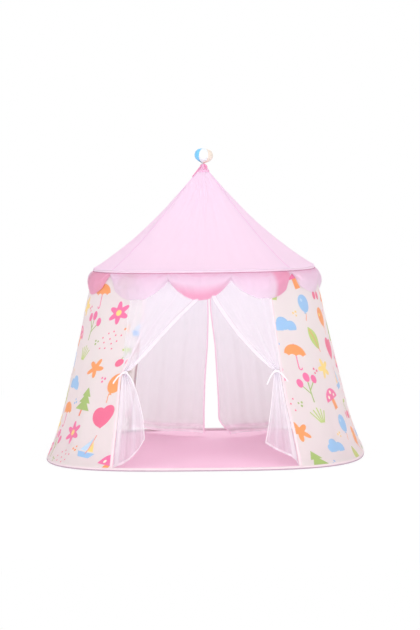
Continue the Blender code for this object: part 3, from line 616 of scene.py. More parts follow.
TILE_WIDE, TILE_HIGH = 0.56, 0.54
MOTIFS = [
    (0.070, 0.470, 0.060, 12, balloon, ORANGE, YELLOW),
    (0.072, 0.338, 0.052, -14, heart, ROSE),
    (0.066, 0.205, 0.058, 6, boat, BLUE, PALE_BLUE, YELLOW),
    (0.076, 0.066, 0.054, 0, cherries, ROSE, LEAF_GREEN, GREEN),
    (0.206, 0.402, 0.064, 4, fir, LEAF_GREEN, CORAL),
    (0.212, 0.264, 0.056, -10, blossom, PINK, YELLOW),
    (0.204, 0.136, 0.052, 0, seeds, ROSE),
    (0.210, 0.010, 0.050, 18, star, ORANGE),
    (0.350, 0.472, 0.062, 0, cloud, BLUE),
    (0.346, 0.334, 0.060, -8, parasol, ORANGE, PINK),
    (0.352, 0.196, 0.066, -4, sprig, LEAF_GREEN, PINK),
    (0.344, 0.072, 0.054, 0, grass, GREEN),
    (0.488, 0.404, 0.056, 20, leaf, GREEN, CORAL),
    (0.492, 0.268, 0.050, 14, star, YELLOW),
    (0.486, 0.134, 0.062, 10, mushroom, PINK, ORANGE, CREAM),
    (0.494, 0.006, 0.056, -12, balloon, BLUE, PALE_BLUE),
    (0.138, 0.500, 0.016, 0, dots, PINK),
    (0.142, 0.196, 0.016, 70, dots, ORANGE),
    (0.280, 0.396, 0.017, 30, dots, BLUE),
    (0.278, 0.130, 0.016, 120, dots, LEAF_GREEN),
    (0.420, 0.266, 0.017, 200, dots, ROSE),
    (0.422, 0.520, 0.016, 250, dots, YELLOW),
]


def printed_cloth(name, shift_u, shift_v):
    """Pale cloth with a repeat of small motifs, laid out in metres along the cloth."""
    paint = Paint(name)
    u, v, _ = paint.read("UV")
    tile_u = ((u + shift_u) / TILE_WIDE).fract() * TILE_WIDE
    tile_v = ((v + shift_v) / TILE_HIGH).fract() * TILE_HIGH
    ground = paint.layered(srgb(247, 247, 244), [(srgb(244, 240, 240), paint.noise(2.2, 2.0))])
    colour, masks = ground, []
    for cx, cy, size, turn, motif, *inks in MOTIFS:
        c, s = math.cos(math.radians(turn)) / size, math.sin(math.radians(turn)) / size
        du, dv = tile_u - cx, tile_v - cy
        if cy + size > TILE_HIGH or cy - size < 0:
            dv = ((dv / TILE_HIGH + 1.5).fract() - 0.5) * TILE_HIGH
        for mask, ink in motif(du * c + dv * s, dv * c - du * s, *inks):
            colour = paint.layered(colour, [(ink, mask)])
            masks.append(mask)
    fade = paint.noise(260, 2.0, "UV") * 0.10
    back = paint.attribute("inside") * 0.82
    colour = paint.layered(colour, [(srgb(252, 240, 240), fade), (ground, back)])
    paint.bump(weave(paint, PRINT_PITCH) * 0.35 + paint.noise(9, 4.0) * 1.4, 0.30, 0.0016)
    paint.set(Base_Color=colour, Roughness=0.78, Sheen_Weight=0.15)
    share = BARE_CLOTH_LIGHT - any_of(*masks) * INK_SHADE
    paint.show(share, paint.solid, paint.light_through(srgb(246, 244, 242)))
    return paint.material


def plain_cloth(name, colour, deeper, through=0.25, roughness=0.72, crease=0.3):
    """Woven cloth in one tone that deepens here and there; through is how much light it lets through."""
    paint = Paint(name)
    colour, deeper = srgb(*colour), srgb(*deeper)
    layers = [(deeper, paint.noise(3.0, 3.0)), (deeper, paint.noise(420, 2.0, "UV") * 0.12)]
    paint.bump(weave(paint, CLOTH_PITCH) * 0.35 + paint.noise(8, 4.0) * 1.6, crease, 0.0018)
    paint.set(Base_Color=paint.layered(colour, layers), Roughness=roughness, Sheen_Weight=0.2)
    if through:
        paint.show(through, paint.solid, paint.light_through(colour, layers))
    return paint.material


def net_cloth(name, top, low, hem, line, clear, spread):
    """Sheer net: from top to low it turns darker, which is painted shade towards its foot, and it is closer
    woven where it is drawn in or hemmed.
    """
    paint = Paint(name)
    top, low, hem, line = (srgb(*colour) for colour in (top, low, hem, line))
    close = paint.attribute("gather")
    threads = weave(paint, NET_PITCH)
    alpha = (close * (1 - clear) + clear + threads * 0.05 + paint.noise(9, 2.0) * spread).clamp()
    height = paint.read("Object")[2] / WALL_TOP
    # Painted shade: the low colour, darker towards the net's foot.
    layers = [(top, (height * 1.25 - 0.10).clamp())]
    # The line colour is painted shade on the front nets and a pink hem line on the rear ones.
    layers += [(hem, paint.attribute("hem")), (line, paint.attribute("line"))]
    paint.bump(threads * 0.4 + paint.noise(30, 3.0), 0.15, 0.0008)
    paint.set(Base_Color=paint.layered(low, layers), Roughness=0.85, Alpha=alpha)
    gap = paint.add("BsdfTransparent").outputs[0]
    sheer = paint.mix_shader(alpha, gap, paint.light_through(low, layers))
    paint.show(0.50, paint.solid, sheer)
    return paint.material


def valance_cloth(name):
    """Paler towards the lobes' lower edges, with deeper pink where the cloth lies in two layers at the
    corners, and painted shade: deeper pink in the creases, in a strip just under the eave and on the lower
    part of the front's middle lobe.
    """
    paint = Paint(name)
    down = paint.attribute("down")
    double_and_shade = paint.attribute("double_and_shade")
    top, edge, deep = srgb(255, 234, 249), srgb(255, 243, 253), srgb(253, 194, 221)
    creases = paint.noise(1.0, 3.0, "UV", stretch=(9, 60, 1))
    layers = [
        (edge, (down * 1.25 + paint.noise(7, 3.0) * 0.5 - 0.30).clamp()),
        # Painted shade: deeper pink in the creases and in a strip just under the eave.
        (deep, ((creases - 0.47) * 2.2 + (0.16 - down) * 2.0).clamp() * 0.45),
        # Deeper pink where the cloth lies in two layers, and painted shade on the lower part of the front's
        # middle lobe.
        (deep, double_and_shade),
    ]
    paint.bump(weave(paint, CLOTH_PITCH) * 0.25 + creases * 3.0, 0.6, 0.0026)
    paint.set(Base_Color=paint.layered(top, layers), Roughness=0.72, Sheen_Weight=0.2)
    paint.show(0.56, paint.solid, paint.light_through(top, layers))
    return paint.material


PRINT = {
    "left": printed_cloth("printed_cloth_left", 0.145, 0.12),
    "right": printed_cloth("printed_cloth_right", 0.33, 0.40),
}
ROOF = plain_cloth("roof_cloth", (253, 245, 252), (252, 239, 250), through=0.64, crease=0.2)
RIDGE_SEAM = plain_cloth("ridge_seam", (247, 216, 240), (242, 204, 232), through=0.2)
TIP = plain_cloth("tip_cloth", (252, 218, 240), (248, 196, 226), through=0.3)
# A deeper copy of the tip cloth: painted shade in the folds at the tip.
TIP_FOLD_SHADE = plain_cloth("tip_fold_shade", (249, 182, 214), (236, 146, 190), through=0.2)
VALANCE = valance_cloth("valance_cloth")
HEM_ROOF = plain_cloth("roof_binding", (251, 230, 244), (248, 222, 240), through=0.2)
# A dark cord of painted shadow, for the gap between the eave binding and the valance.
SHADOW_CORD = plain_cloth("shadow_seam", (196, 96, 146), (178, 80, 130), through=0)
HEM_PALE = plain_cloth("pale_binding", (252, 236, 240), (248, 226, 234), through=0.2)
# A thin dark mauve cord along the foot of the base binding.
HEM_MAUVE = plain_cloth("mauve_foot_line", (190, 158, 178), (172, 138, 162), through=0)
FLOOR_CLOTH = plain_cloth(
    "floor_cloth", (255, 204, 230), (255, 195, 225), through=0, roughness=0.6, crease=0.45
)
# Its grey-lilac line colour is painted shade beside the hems and along the creases.
NET_FRONT = net_cloth(
    "front_net", top=(246, 246, 253), low=(245, 245, 251), hem=(252, 252, 255), line=(208, 194, 210),
    clear=0.42, spread=0.08,
)
# The rear net's darker low colour is painted shade towards its foot.
NET_REAR = net_cloth(
    "rear_net", top=(240, 236, 247), low=(224, 208, 217), hem=(248, 234, 243), line=(244, 202, 224),
    clear=0.66, spread=0.10,
)
RIBBON = plain_cloth("satin_ribbon", (254, 251, 254), (246, 240, 247), roughness=0.5)

# Ribbons, along the CAD model's routes

RIBBON_WIDTH, RIBBON_THICKNESS, RIBBON_NOTCH = 0.0062, 0.0006, 0.003
RIBBON_ROUTES = {
    "inner": [
        (0.3144, -0.5616, 0.4030), (0.3057, -0.5633, 0.3970), (0.2981, -0.5636, 0.3873),
        (0.2903, -0.5632, 0.3722), (0.2794, -0.5616, 0.3450),
    ],
    "outer": [
        (0.3164, -0.5636, 0.4050), (0.3299, -0.5693, 0.4001), (0.3430, -0.5718, 0.3924),
        (0.3554, -0.5740, 0.3788), (0.3694, -0.5786, 0.3570),
    ],
}


def smoothed_route(points, count=40):
    """Points at even steps on a soft curve through the given ones."""
    points = np.array(points)
    walked = np.concatenate([[0], np.cumsum(np.linalg.norm(np.diff(points, axis=0), axis=1))])
    even = np.linspace(0, walked[-1], count)
    line = np.stack([np.interp(even, walked, points[:, k]) for k in range(3)], axis=-1)
    for _ in range(6):
        line[1:-1] = (line[:-2] + line[2:] + 2 * line[1:-1]) / 4
    return [tuple(map(float, p)) for p in line]


def flip(points, side):
    return [(outwards(side) * x, y, z) for x, y, z in points]


def flat_ribbon(name, points):
    """A flat ribbon that turns a little along its way, with a notched end."""
    points = [Vector(p) for p in points]
    count = len(points) - 1

    def place(u, v):
        rows = []
        for j in range(count + 1):
            ahead = points[min(j + 1, count)] - points[max(j - 1, 0)]
            side_way = ahead.cross(Vector((0, -1, 0.25))).normalized()
            side_way = Matrix.Rotation(0.35 * math.sin(j / count * 4), 3, ahead.normalized()) @ side_way
            notch = RIBBON_NOTCH if j == count else 0.0
            row = []
            for share in np.linspace(-0.5, 0.5, u.shape[1]):
                back = ahead.normalized() * (notch * (1 - 2 * abs(share)))
                row.append(points[j] + side_way * (share * RIBBON_WIDTH) - back)
            rows.append(row)
        return np.array(rows)

    return cloth(name, 4, count, place, RIBBON_THICKNESS)


def make_ribbons():
    for side in SIDES:
        for which, route in RIBBON_ROUTES.items():
            points = flip(smoothed_route(route, 14), side)
            tail = flat_ribbon(f"ribbon_tail_{which}_{side}", points)
            finish_piece(tail, RIBBON, "ribbon", f"front_tail_{side}", f"ribbon_{which}_{side}")


make_ribbons()

# Printed walls, with the widths along them given as turns about the tent's middle

CLOTH_THICKNESS, HEM_THICKNESS, FRILL_THICKNESS = 0.0012, 0.0005, 0.0008
WALL_EDGE_TURN, HEM_EDGE_TURN, HEM_TURN = 0.0008, 0.0010, 0.016


def make_wall(side):
    """One cloth from the front jamb round the side to the rear jamb."""

    def place(u, v):
        z = mix(WALL_FOOT, WALL_TOP, v**1.15)
        first = turn_at(front_jamb_x(side, z), z) + WALL_EDGE_TURN
        turn = mix(first, pi - jamb_turn(z) - WALL_EDGE_TURN, u)
        low = drop_share(z)
        puff = ripple(
            (0.0024, 23 * turn + 3 * low), (0.0014, 41 * turn - 7 * low), (0.0008, 67 * turn + 17 * low)
        )
        puff *= low**1.5
        puff += ripple((0.0012, 9 * low + 5 * turn), (0.0007, 31 * low + 11 * turn))
        edge = ramp(np.minimum(u, 1 - u) * 30) * ramp(np.minimum(v, 1 - v) * 12)
        return wall(turn * outwards(side), z, puff * edge)

    columns, rows = 260, 110
    obj = cloth(f"printed_wall_{side}", columns, rows, place, CLOTH_THICKNESS, outward=side == "right")
    outer = np.zeros((rows + 1, columns + 1))
    write_values(obj, "inside", outer, outer + 1)
    panels = [f"wall_{part}{side}" for part in ("", "front_", "rear_")]
    finish_piece(obj, PRINT[side], "wall_cloth", "tent", *panels)
    declare_sheet(obj)


def make_jamb_hem(side, end):
    """A narrow turned hem down each jamb."""
    across, along = outwards(side), ENDS[end]

    def place(u, v):
        z = mix(WALL_FOOT + 0.0006, WALL_TOP - 0.001, v)
        first = turn_at(front_jamb_x(side, z), z) if end == "front" else jamb_turn(z)
        lift = 0.0006 + 0.0004 * np.sin(pi * u)
        return wall(first + HEM_EDGE_TURN + HEM_TURN * u, z, lift) * np.array([across, along, 1])

    obj = cloth(f"jamb_hem_{end}_{side}", 4, 90, place, HEM_THICKNESS, outward=across == along)
    finish_piece(obj, HEM_PALE, "wall_cloth", "tent")
    declare_sheet(obj)


# Roof, valance and hems

GORES_END, SEAMS_END = 0.93, 0.925


def make_roof():
    """The roof cloth: four gores that meet in ridges and sag between them."""

    def place(u, v):
        share = GORES_END * v**1.05
        turn = mix(-pi, pi, u)
        from_ridge = (turn + pi / 4) % (pi / 2)
        from_ridge = np.minimum(from_ridge, pi / 2 - from_ridge) / (pi / 4)
        slack = ripple((0.0012, 29 * turn + 5 * share), (0.0008, 53 * turn - 9 * share))
        slack *= from_ridge * ramp((1 - share) * 3) * ramp(share * 9)
        gather = 0.0010 * np.sin(28 * turn) * ramp((share - 0.80) * 6) * (1 - share) * 4
        return roof(turn, share, slack + gather)

    obj = cloth("roof_cloth_gores", 360, 100, place, CLOTH_THICKNESS)
    panels = [f"roof_panel_{side}" for side in ("front", "rear", "left", "right")]
    finish_piece(obj, ROOF, "roof_cloth", "tent", *panels)
    declare_sheet(obj, length=2 * WALL_TOP_HALF)


def along_ridge(turn, shares, lift):
    return [tuple(roof(np.array(turn), share, lift)) for share in shares]


def make_ridges():
    """The piped seam down each ridge."""
    for k, corner in enumerate(("front_right", "rear_right", "rear_left", "front_left")):
        points = along_ridge(pi / 4 + k * pi / 2, np.linspace(0.004, SEAMS_END, 60), 0.0002)
        seam = cord_mesh(f"ridge_seam_{corner}", points, 0.0012)
        finish_piece(seam, RIDGE_SEAM, "roof_cloth", "tent")


def ring(half, roundness, z, count=240):
    turns = np.linspace(0, tau, count, endpoint=False)
    x, y = plan(turns, half, roundness)
    return [(a, b, z) for a, b in zip(x, y)]


def make_hems():
    """The bindings over both hoops, each with a darker line below it: under the eave a dark cord of painted
    shadow for the gap above the valance, and along the base binding's foot a thin mauve cord.
    """
    eave, base = (EAVE_RING, EAVE_ROUND, EAVE_HEIGHT), (BASE_RING, BASE_ROUND, BASE_HEIGHT)
    under_eave = (EAVE_RING + 0.0042, EAVE_ROUND, EAVE_HEIGHT - 0.0050)
    foot_line = (BASE_RING + 0.0058, BASE_ROUND, 0.0026)
    for name, (half, roundness, z), radius, material, slot, *replaced in (
        ("eave_binding_cloth", eave, 0.0052, HEM_ROOF, "roof_cloth", "eave_binding"),
        # The eave's dark cord is painted shadow.
        ("eave_shadow_seam", under_eave, 0.0013, SHADOW_CORD, "roof_cloth"),
        ("base_pale_binding", base, 0.0070, HEM_PALE, "binding", "base_binding"),
        ("base_mauve_piping", foot_line, 0.0022, HEM_MAUVE, "binding"),
    ):
        hem = cord_mesh(name, ring(half, roundness, z), radius, True)
        finish_piece(hem, material, slot, "tent", *replaced)


CORNER_DEPTH, CUSP_DEPTH, SCALLOP_DEPTH = 0.012, 0.030, 0.113
LOBES, SIDE_SHARE = 3, 0.84
VALANCE_OUT, VALANCE_PUFF = 0.0030, 0.0205


def scallop_depth(u):
    """How far the lobes hang below the eave."""
    across = 2 * ((u * LOBES) % 1.0) - 1
    across = np.where(u >= 1, 1.0, across)
    lobe = mix(CUSP_DEPTH, SCALLOP_DEPTH, np.maximum(0, 1 - across**2) ** 0.9)
    return mix(CORNER_DEPTH, lobe, ramp(np.minimum(u, 1 - u) / 0.050) ** 0.8)


def make_valance(side, middle):
    """A scalloped frill that puffs out over the wall."""
    columns, rows = 216, 24
    shorter = SIDE_SHARE if side in SIDES else 1.0

    def place(u, v):
        hang = scallop_depth(u) * shorter
        down = 1 - v
        z = WALL_TOP - hang * down
        puff = VALANCE_PUFF * np.sqrt(hang / SCALLOP_DEPTH) * np.sin(pi * down**0.8)
        turn = middle + mix(-pi / 4, pi / 4, u) * 0.9985
        frill = ripple((0.0014, 60 * turn + 4 * down), (0.0010, 97 * turn), (0.0012, 9 * down + 17 * turn))
        return wall(turn, z, VALANCE_OUT + puff + frill * np.sin(pi * down))

    obj = cloth(f"scalloped_valance_{side}", columns, rows, place, FRILL_THICKNESS)
    u, v = grid(columns, rows)
    down = 1 - v
    lobe = np.abs(((u * LOBES) % 1.0) - 0.5) * 2
    double_and_shade = np.zeros_like(u)
    if side == "front":
        # Painted shade on the lower part of the middle lobe; near the right corner, two layers of cloth.
        double_and_shade = (np.abs(u - 0.5) < 0.5 / LOBES) * ramp(down * 2.4 - 1.0) * (1 - lobe**3) * 0.8
        double_and_shade = np.maximum(double_and_shade, ramp((u - 0.875) * 40) * ramp((0.985 - u) * 60) * 0.85)
    elif side == "left":
        double_and_shade = ramp((u - 0.72) * 12) * 0.75
    write_values(obj, "down", down, down)
    write_values(obj, "double_and_shade", double_and_shade, double_and_shade)
    finish_piece(obj, VALANCE, "roof_cloth", "tent", f"valance_{side}")
    declare_sheet(obj)


HEAD_DEPTH, HEAD_EDGE_TURN = 0.026, 0.002


def make_headers():
    """The strip of wall cloth over each doorway."""
    for end, along in ENDS.items():

        def place(u, v):
            z = mix(WALL_TOP - HEAD_DEPTH, WALL_TOP, v)
            left = turn_at(front_jamb_x("left", z), z) if end == "front" else jamb_turn(z)
            turn = mix(HEAD_EDGE_TURN - left, jamb_turn(z) - HEAD_EDGE_TURN, u)
            return wall(turn, z, -0.0002) * np.array([1, along, 1])

        obj = cloth(f"doorway_head_{end}", 60, 4, place, CLOTH_THICKNESS, outward=end == "front")
        finish_piece(obj, HEM_PALE, "wall_cloth", "tent", f"header_{end}")
        declare_sheet(obj)


FLOOR_HALF, FLOOR_EDGE, FLOOR_THICKNESS = 0.6868, 0.0026, 0.0016


def make_floor():
    """The floor cloth: a filled rounded square, with faint creases."""

    def place(u, v):
        a, b = 2 * u - 1, 2 * v - 1
        reach = np.maximum(np.abs(a), np.abs(b))
        turn = np.arctan2(a, -b)
        x, y = plan(turn, FLOOR_HALF, BASE_ROUND)
        x, y = x * reach, y * reach
        swell = ramp((1 - reach) * 12)
        creases = ripple((0.0006, 15 * x + 4 * y), (0.0005, 9 * y - 6 * x), (0.0004, 31 * x - 13 * y))
        z = FLOOR_EDGE + swell * (0.0012 + creases)
        return points_at(x, y, z)

    obj = cloth("floor_cloth_sheet", 160, 160, place, FLOOR_THICKNESS)
    finish_piece(obj, FLOOR_CLOTH, "floor_cloth", "tent", "floor_sheet")
    declare_sheet(obj, length=2 * BASE_RING)


# Net curtains


def net(name, columns, rows, place, gather, hem, line):
    """A single sheer layer, with where it is drawn close, sewn over or marked by a line: painted shade on the
    front nets, a pink hem line on the rear ones.
    """
    obj = cloth(name, columns, rows, place)
    u, v = grid(columns, rows)
    sewn, shaded = ramp(hem(u, v)), ramp(line(u, v))
    write_values(obj, "gather", ramp(gather(u, v) + sewn * 0.75 + shaded * 0.6))
    write_values(obj, "hem", sewn)
    write_values(obj, "line", shaded)
    return obj


FREE_HEM, NET_OUT = 0.022, 0.0040
BUNCH_HALF_WIDE, BUNCH_HALF_DEEP = 0.0120, 0.0070
BUNCH = {
    "centre": np.array([0.3209, -0.5407, 0.3983]),
    "wide": np.array([-0.9916, -0.0373, -0.1237]),
    "deep": np.array([0.0, 0.9573, -0.2890]),
    "along": np.array([-0.1292, 0.2865, 0.9493]),
}
FREE_EDGE = {
    "left": [
        (0.40, 0.290), (0.416, 0.277), (0.470, 0.2315), (0.552, 0.159), (0.629, 0.086),
        (0.680, 0.032), (0.706, 0.003), (0.75, -0.020), (0.83, -0.022),
    ],
    "right": [
        (0.40, 0.304), (0.412, 0.292), (0.438, 0.262), (0.488, 0.2145), (0.561, 0.151),
        (0.651, 0.087), (0.706, 0.052), (0.75, 0.030), (0.83, 0.026),
    ],
}


def bunch(u, shift):
    """The net drawn up into a tight bundle of pleats where the tie holds it."""
    across = 2 * u - 1
    thick = BUNCH_HALF_DEEP * np.sqrt(np.maximum(0, 1 - across**2)) * np.sin(u * 26 + 1.0)
    offset = (
        BUNCH["wide"] * (BUNCH_HALF_WIDE * across)[..., None]
        + BUNCH["deep"] * thick[..., None]
        + BUNCH["along"] * (shift + 0 * u)[..., None]
    )
    return BUNCH["centre"] + offset


def make_fan(side):
    """A front net from the doorway's head down to the tie."""
    mirror = np.array([outwards(side), 1, 1])
    crease = {"left": 0.66, "right": 0.80}[side]

    def edges(z):
        """The net's outer edge on the jamb, which it laps over higher up, and its free edge."""
        return jamb_x(z) + 0.003 * (z - 0.4) / 0.4, curve(z, FREE_EDGE[side])

    def hem_start(z):
        edge, free = edges(z)
        return 1 - np.clip(FREE_HEM / np.maximum(edge - free, 0.01), 0.05, 0.42)

    def place(u, v):
        down = 1 - v
        end = bunch(u, 0.0095)
        z = mix(NET_TOP, end[..., 2], down)
        x = mix(*edges(z), u)
        fine = np.sin(pi * down) ** 0.6
        broad, narrow = tau * 3 * u + 1.3 * np.sin(3 * u), tau * 7 * u + 2.0 + 2 * down
        fold = ripple((0.0022, broad), (0.0008, narrow)) * fine * ramp(u * 8)
        inner = hem_start(z)
        roll = 0.0024 * np.sin(ramp((u - inner) / (1 - inner)) * pi)
        spread = front(x, z, NET_OUT + roll + fold * np.clip((0.79 - z) * 12, 0.15, 1))
        close = down[..., None] ** 8
        return (spread * (1 - close) + end * close) * mirror

    def gather(u, v):
        down = 1 - v
        soft = 0.5 + 0.5 * np.sin(tau * 3 * u + 2 * down)
        return down**5 * 0.8 + 0.20 * np.exp(-u * 60) + 0.06 * soft**3 * down

    def hem(u, v):
        """A turned hem down the free edge."""
        return np.clip((u - hem_start(mix(0.40, NET_TOP, v))) * 40, 0, 0.8)

    def line(u, v):
        """Painted shade beside the hem, and painted shade along a soft crease that runs down to the tie."""
        start_at = hem_start(mix(0.40, NET_TOP, v))
        outer = ramp((u - 0.988) * 120) * {"left": 0.35, "right": 1.0}[side] * ramp((0.94 - v) * 8)
        inner = 0.30 * bell(u, start_at, 0.010)
        fold = 0.16 * bell(u, mix(crease, 0.35, (1 - v) ** 2), 0.012)
        return np.maximum(np.maximum(outer, inner), fold)

    obj = net(f"front_net_{side}", 200, 90, place, gather, hem, line)
    finish_piece(obj, NET_FRONT, "net", "tent", f"net_front_{side}")
    declare_sheet(obj)


TAIL_BEND = 0.03
TAIL = {
    "left": {
        "free": [(0.10, 0.241), (0.125, 0.241), (0.205, 0.245), (0.32, 0.268), (0.40, 0.300)],
        "hem": [(0.0, 0.014), (0.25, 0.020), (0.5, 0.036), (0.78, 0.072), (1.0, 0.115)],
        "seam": (0.369, 0.084),
    },
    "right": {
        "free": [(0.08, 0.266), (0.10, 0.269), (0.16, 0.281), (0.23, 0.292), (0.30, 0.300), (0.40, 0.310)],
        "hem": [(0.0, 0.014), (0.05, 0.034), (0.2, 0.048), (0.54, 0.064), (1.0, 0.096)],
        "seam": (0.412, 0.190),
    },
}


def make_tail(side):
    """The net below its tie, fanned out to a hem that rises from the jamb."""
    shape = TAIL[side]
    mirror = np.array([outwards(side), 1, 1])

    def place(u, v):
        down = 1 - v
        start_row = bunch(u, -0.0062)
        z = mix(start_row[..., 2], np.interp(u, *np.array(shape["hem"]).T), down)
        edge = front(front_jamb_x(side, z) - 0.002, z, 0.0015)
        x = mix(edge[..., 0], curve(z, shape["free"]), u)
        y = mix(edge[..., 1], -0.5415, u**0.7)
        fold = ripple((0.0055, tau * 2.4 * u + 0.4), (0.0016, tau * 5 * u + 2 * down))
        fold *= down**0.6 * ramp(4 * u)
        low = points_at(x, y + fold, z)
        close = (1 - down)[..., None] ** 6
        return (low * (1 - close) + start_row * close) * mirror

    def gather(u, v):
        down = 1 - v
        pleat = (0.5 + 0.5 * np.sin(tau * 3.4 * u + 1.5 * down)) ** 4
        outer = bell(u, 0.09, 0.07)
        return (1 - down) ** 2 * 0.8 + 0.55 * outer + 0.20 * pleat

    def hem(u, v):
        outer = 0.8 * bell(u, 0.09, 0.06)
        return np.maximum(np.maximum(ramp((u - 0.955) * 60), ramp((0.035 - v) * 60)), outer)

    # Painted shade along two folds of the tail.
    def line(u, v):
        return 0.20 * bell(u, 0.20, 0.02) + 0.12 * bell(u, 0.55, 0.03)

    obj = net(f"front_net_tail_{side}", 120, 80, place, gather, hem, line)
    foot, lean = shape["seam"]
    way, height, depth = outwards(side), 0.2, -0.58
    sewn = (way * (foot - lean * height), depth, height)
    swinging = (sewn[0] - way * TAIL_BEND, depth, height - lean * TAIL_BEND)
    body = ("tent", f"front_tail_{side}", sewn, swinging)
    finish_piece(obj, NET_FRONT, "net", body, f"net_tail_{side}")
    declare_sheet(obj)


REAR_FREE = {
    "left": [(0.00, 0.028), (0.12, 0.0275), (0.27, 0.0208), (0.43, 0.0070), (0.56, 0.0018), (0.83, 0.0018)],
    "right": [(0.00, 0.040), (0.19, 0.036), (0.43, 0.024), (0.545, 0.0110), (0.61, 0.0040), (0.83, 0.0034)],
}


def make_rear_net(side):
    """A rear net, drawn nearly closed."""
    kick = {"left": 0.0, "right": 0.055}[side]
    mirror = np.array([outwards(side), -1, 1])

    def place(u, v):
        z = mix(0.021 + 0.004 * np.sin(9 * u + 1) - 0.004 * u, NET_TOP, v)
        down = drop_share(z)
        edge = front(jamb_x(z) - 0.002, z, -0.001)
        lifted = kick * ramp((0.09 - z) / 0.07) ** 1.5
        x = mix(edge[..., 0], curve(z, REAR_FREE[side]) + lifted, u)
        bow = np.sin(u * pi / 2) ** 1.6
        y = mix(edge[..., 1], kick * down**4 - 0.4835, bow)
        fold = ripple((0.0040, tau * 3 * u), (0.0016, tau * 7 * u + 1.0 + 2 * down)) * ramp(5 * u)
        room = np.clip((0.80 - z) * 20, 0.2, 1)
        return points_at(x, y + 0.004 + fold * room, z) * mirror

    def gather(u, v):
        """Closer where the ruffle is sewn on near the foot."""
        return 0.25 * v**6 + 0.5 * bell(v, 0.040, 0.012)

    def hem(u, v):
        seam = 0.7 * bell(v, 0.040, 0.010)
        return np.maximum(np.maximum((v < 0.012) * 1.0, seam), (u > 0.97) * 0.5)

    def line(u, v):
        return 0.75 * ramp((u - 0.976) * 120) + 0.25 * bell(v, 0.013, 0.003)

    obj = net(f"rear_net_curtain_{side}", 160, 100, place, gather, hem, line)
    heading, hanging = ((0.1 * outwards(side), 0.49, height) for height in (0.79, 0.62))
    finish_piece(obj, NET_REAR, "net", ("tent", f"rear_net_{side}", heading, hanging), f"net_rear_{side}")
    declare_sheet(obj)


BAND_HALF_WIDE, BAND_HALF_DEEP, BAND_TALL, BAND_THICKNESS = 0.0140, 0.0100, 0.0108, 0.0009
KNOT_HALF_WIDE, KNOT_HALF_DEEP, KNOT_HALF_TALL = 0.0080, 0.0058, 0.0070


def make_tie(side):
    """The ribbon band round the bunch, with its knot in front."""
    frame_at = Matrix([BUNCH["wide"], BUNCH["deep"], BUNCH["along"]]).transposed().to_4x4()
    frame_at.translation = Vector(BUNCH["centre"])
    select()
    bpy.ops.mesh.primitive_cylinder_add(vertices=48, radius=1, depth=BAND_TALL, end_fill_type="NOTHING")
    band = bpy.context.object
    band.data.transform(Matrix.Diagonal((BAND_HALF_WIDE, BAND_HALF_DEEP, 1, 1)))
    solid = band.modifiers.new("thickness", "SOLIDIFY")
    solid.thickness = BAND_THICKNESS
    apply_all(band)
    select()
    bpy.ops.mesh.primitive_uv_sphere_add(segments=24, ring_count=14, radius=1)
    knot = bpy.context.object
    for vert in knot.data.vertices:
        pinch = 1 - 0.16 * math.cos(2 * math.atan2(vert.co.z, vert.co.x))
        x, y, z = vert.co
        vert.co = (x * KNOT_HALF_WIDE * pinch, y * KNOT_HALF_DEEP, z * KNOT_HALF_TALL * pinch)
    knot.data.transform(Matrix.Translation(Vector((0.0046, -0.0128, 0))))
    tie = join(f"tie_band_{side}", band, knot)
    tie.data.transform(frame_at)
    if side == "left":
        tie.data.transform(Matrix.Scale(-1, 4, Vector((1, 0, 0))))
        tie.data.flip_normals()
    smooth(tie, angle=50)
    finish_piece(tie, RIBBON, "ribbon", f"front_tail_{side}", f"tie_{side}")


# Tip and ball


def make_cap():
    """The roof cloth drawn up into a neck and knotted."""
    corner = 0.0253 * math.sqrt(2) + 0.0030
    heights = [1.24627, 1.2515, 1.2580, 1.2640, 1.2690, 1.2735, 1.2775, 1.2806, KNOT_HEIGHT]
    reaches = [corner * share for share in (0.99, 0.86, 0.64, 0.44)]
    reaches += [0.0132, 0.0112, 0.0118, 0.0092, 0.0004]
    widest = math.hypot(*plan(np.array(pi / 4), 1.0, TIP_ROUND))

    def place(u, v):
        turn = mix(-pi, pi, u)
        at = np.linspace(0, 1, len(heights))
        z, reach = np.interp(v, at, heights), np.interp(v, at, reaches)
        cloth_part = ramp(1 - v * 2.2)
        square = np.hypot(*plan(turn, 1.0, TIP_ROUND)) / widest
        pleat = 1 + 0.09 * np.sin(13 * turn + 6 * v) * ramp(v * 6) * ramp((0.62 - v) * 5)
        pleat += 0.06 * np.sin(3 * turn + 20 * v) * (v > 0.55)
        reach = reach * mix(1.0, square, cloth_part) * pleat
        return points_at(reach * np.sin(turn), -reach * np.cos(turn), z)

    obj = cloth("gathered_tip", 120, 40, place, 0.0010)
    finish_piece(obj, TIP, "roof_cloth", "tent", "roof_cap")
    declare_sheet(obj)
    ridge = along_ridge(-pi / 4, np.linspace(0.880, SEAMS_END, 6), 0.0024)
    fold = [(-0.003, -0.006, 1.2795), (-0.0075, -0.0105, 1.2740), (-0.0145, -0.0170, 1.2660)] + ridge[::-1]
    tab = [
        (0.003, -0.0085, 1.2795), (0.0100, -0.0105, 1.2765), (0.0152, -0.0120, 1.2710),
        (0.0165, -0.0145, 1.2650), (0.0140, -0.0170, 1.2600), (0.0085, -0.0195, 1.2570),
    ]
    # The drawn fold and the knotted tab take the deeper copy of the tip cloth: painted shade in the folds.
    for name, points, radius in (("drawn_fold_of_tip", fold, 0.0021), ("knotted_tab_of_tip", tab, 0.0048)):
        piece = cord_mesh(name, smoothed_route(points), radius, sides=12)
        finish_piece(piece, TIP_FOLD_SHADE, "roof_cloth", "tent")


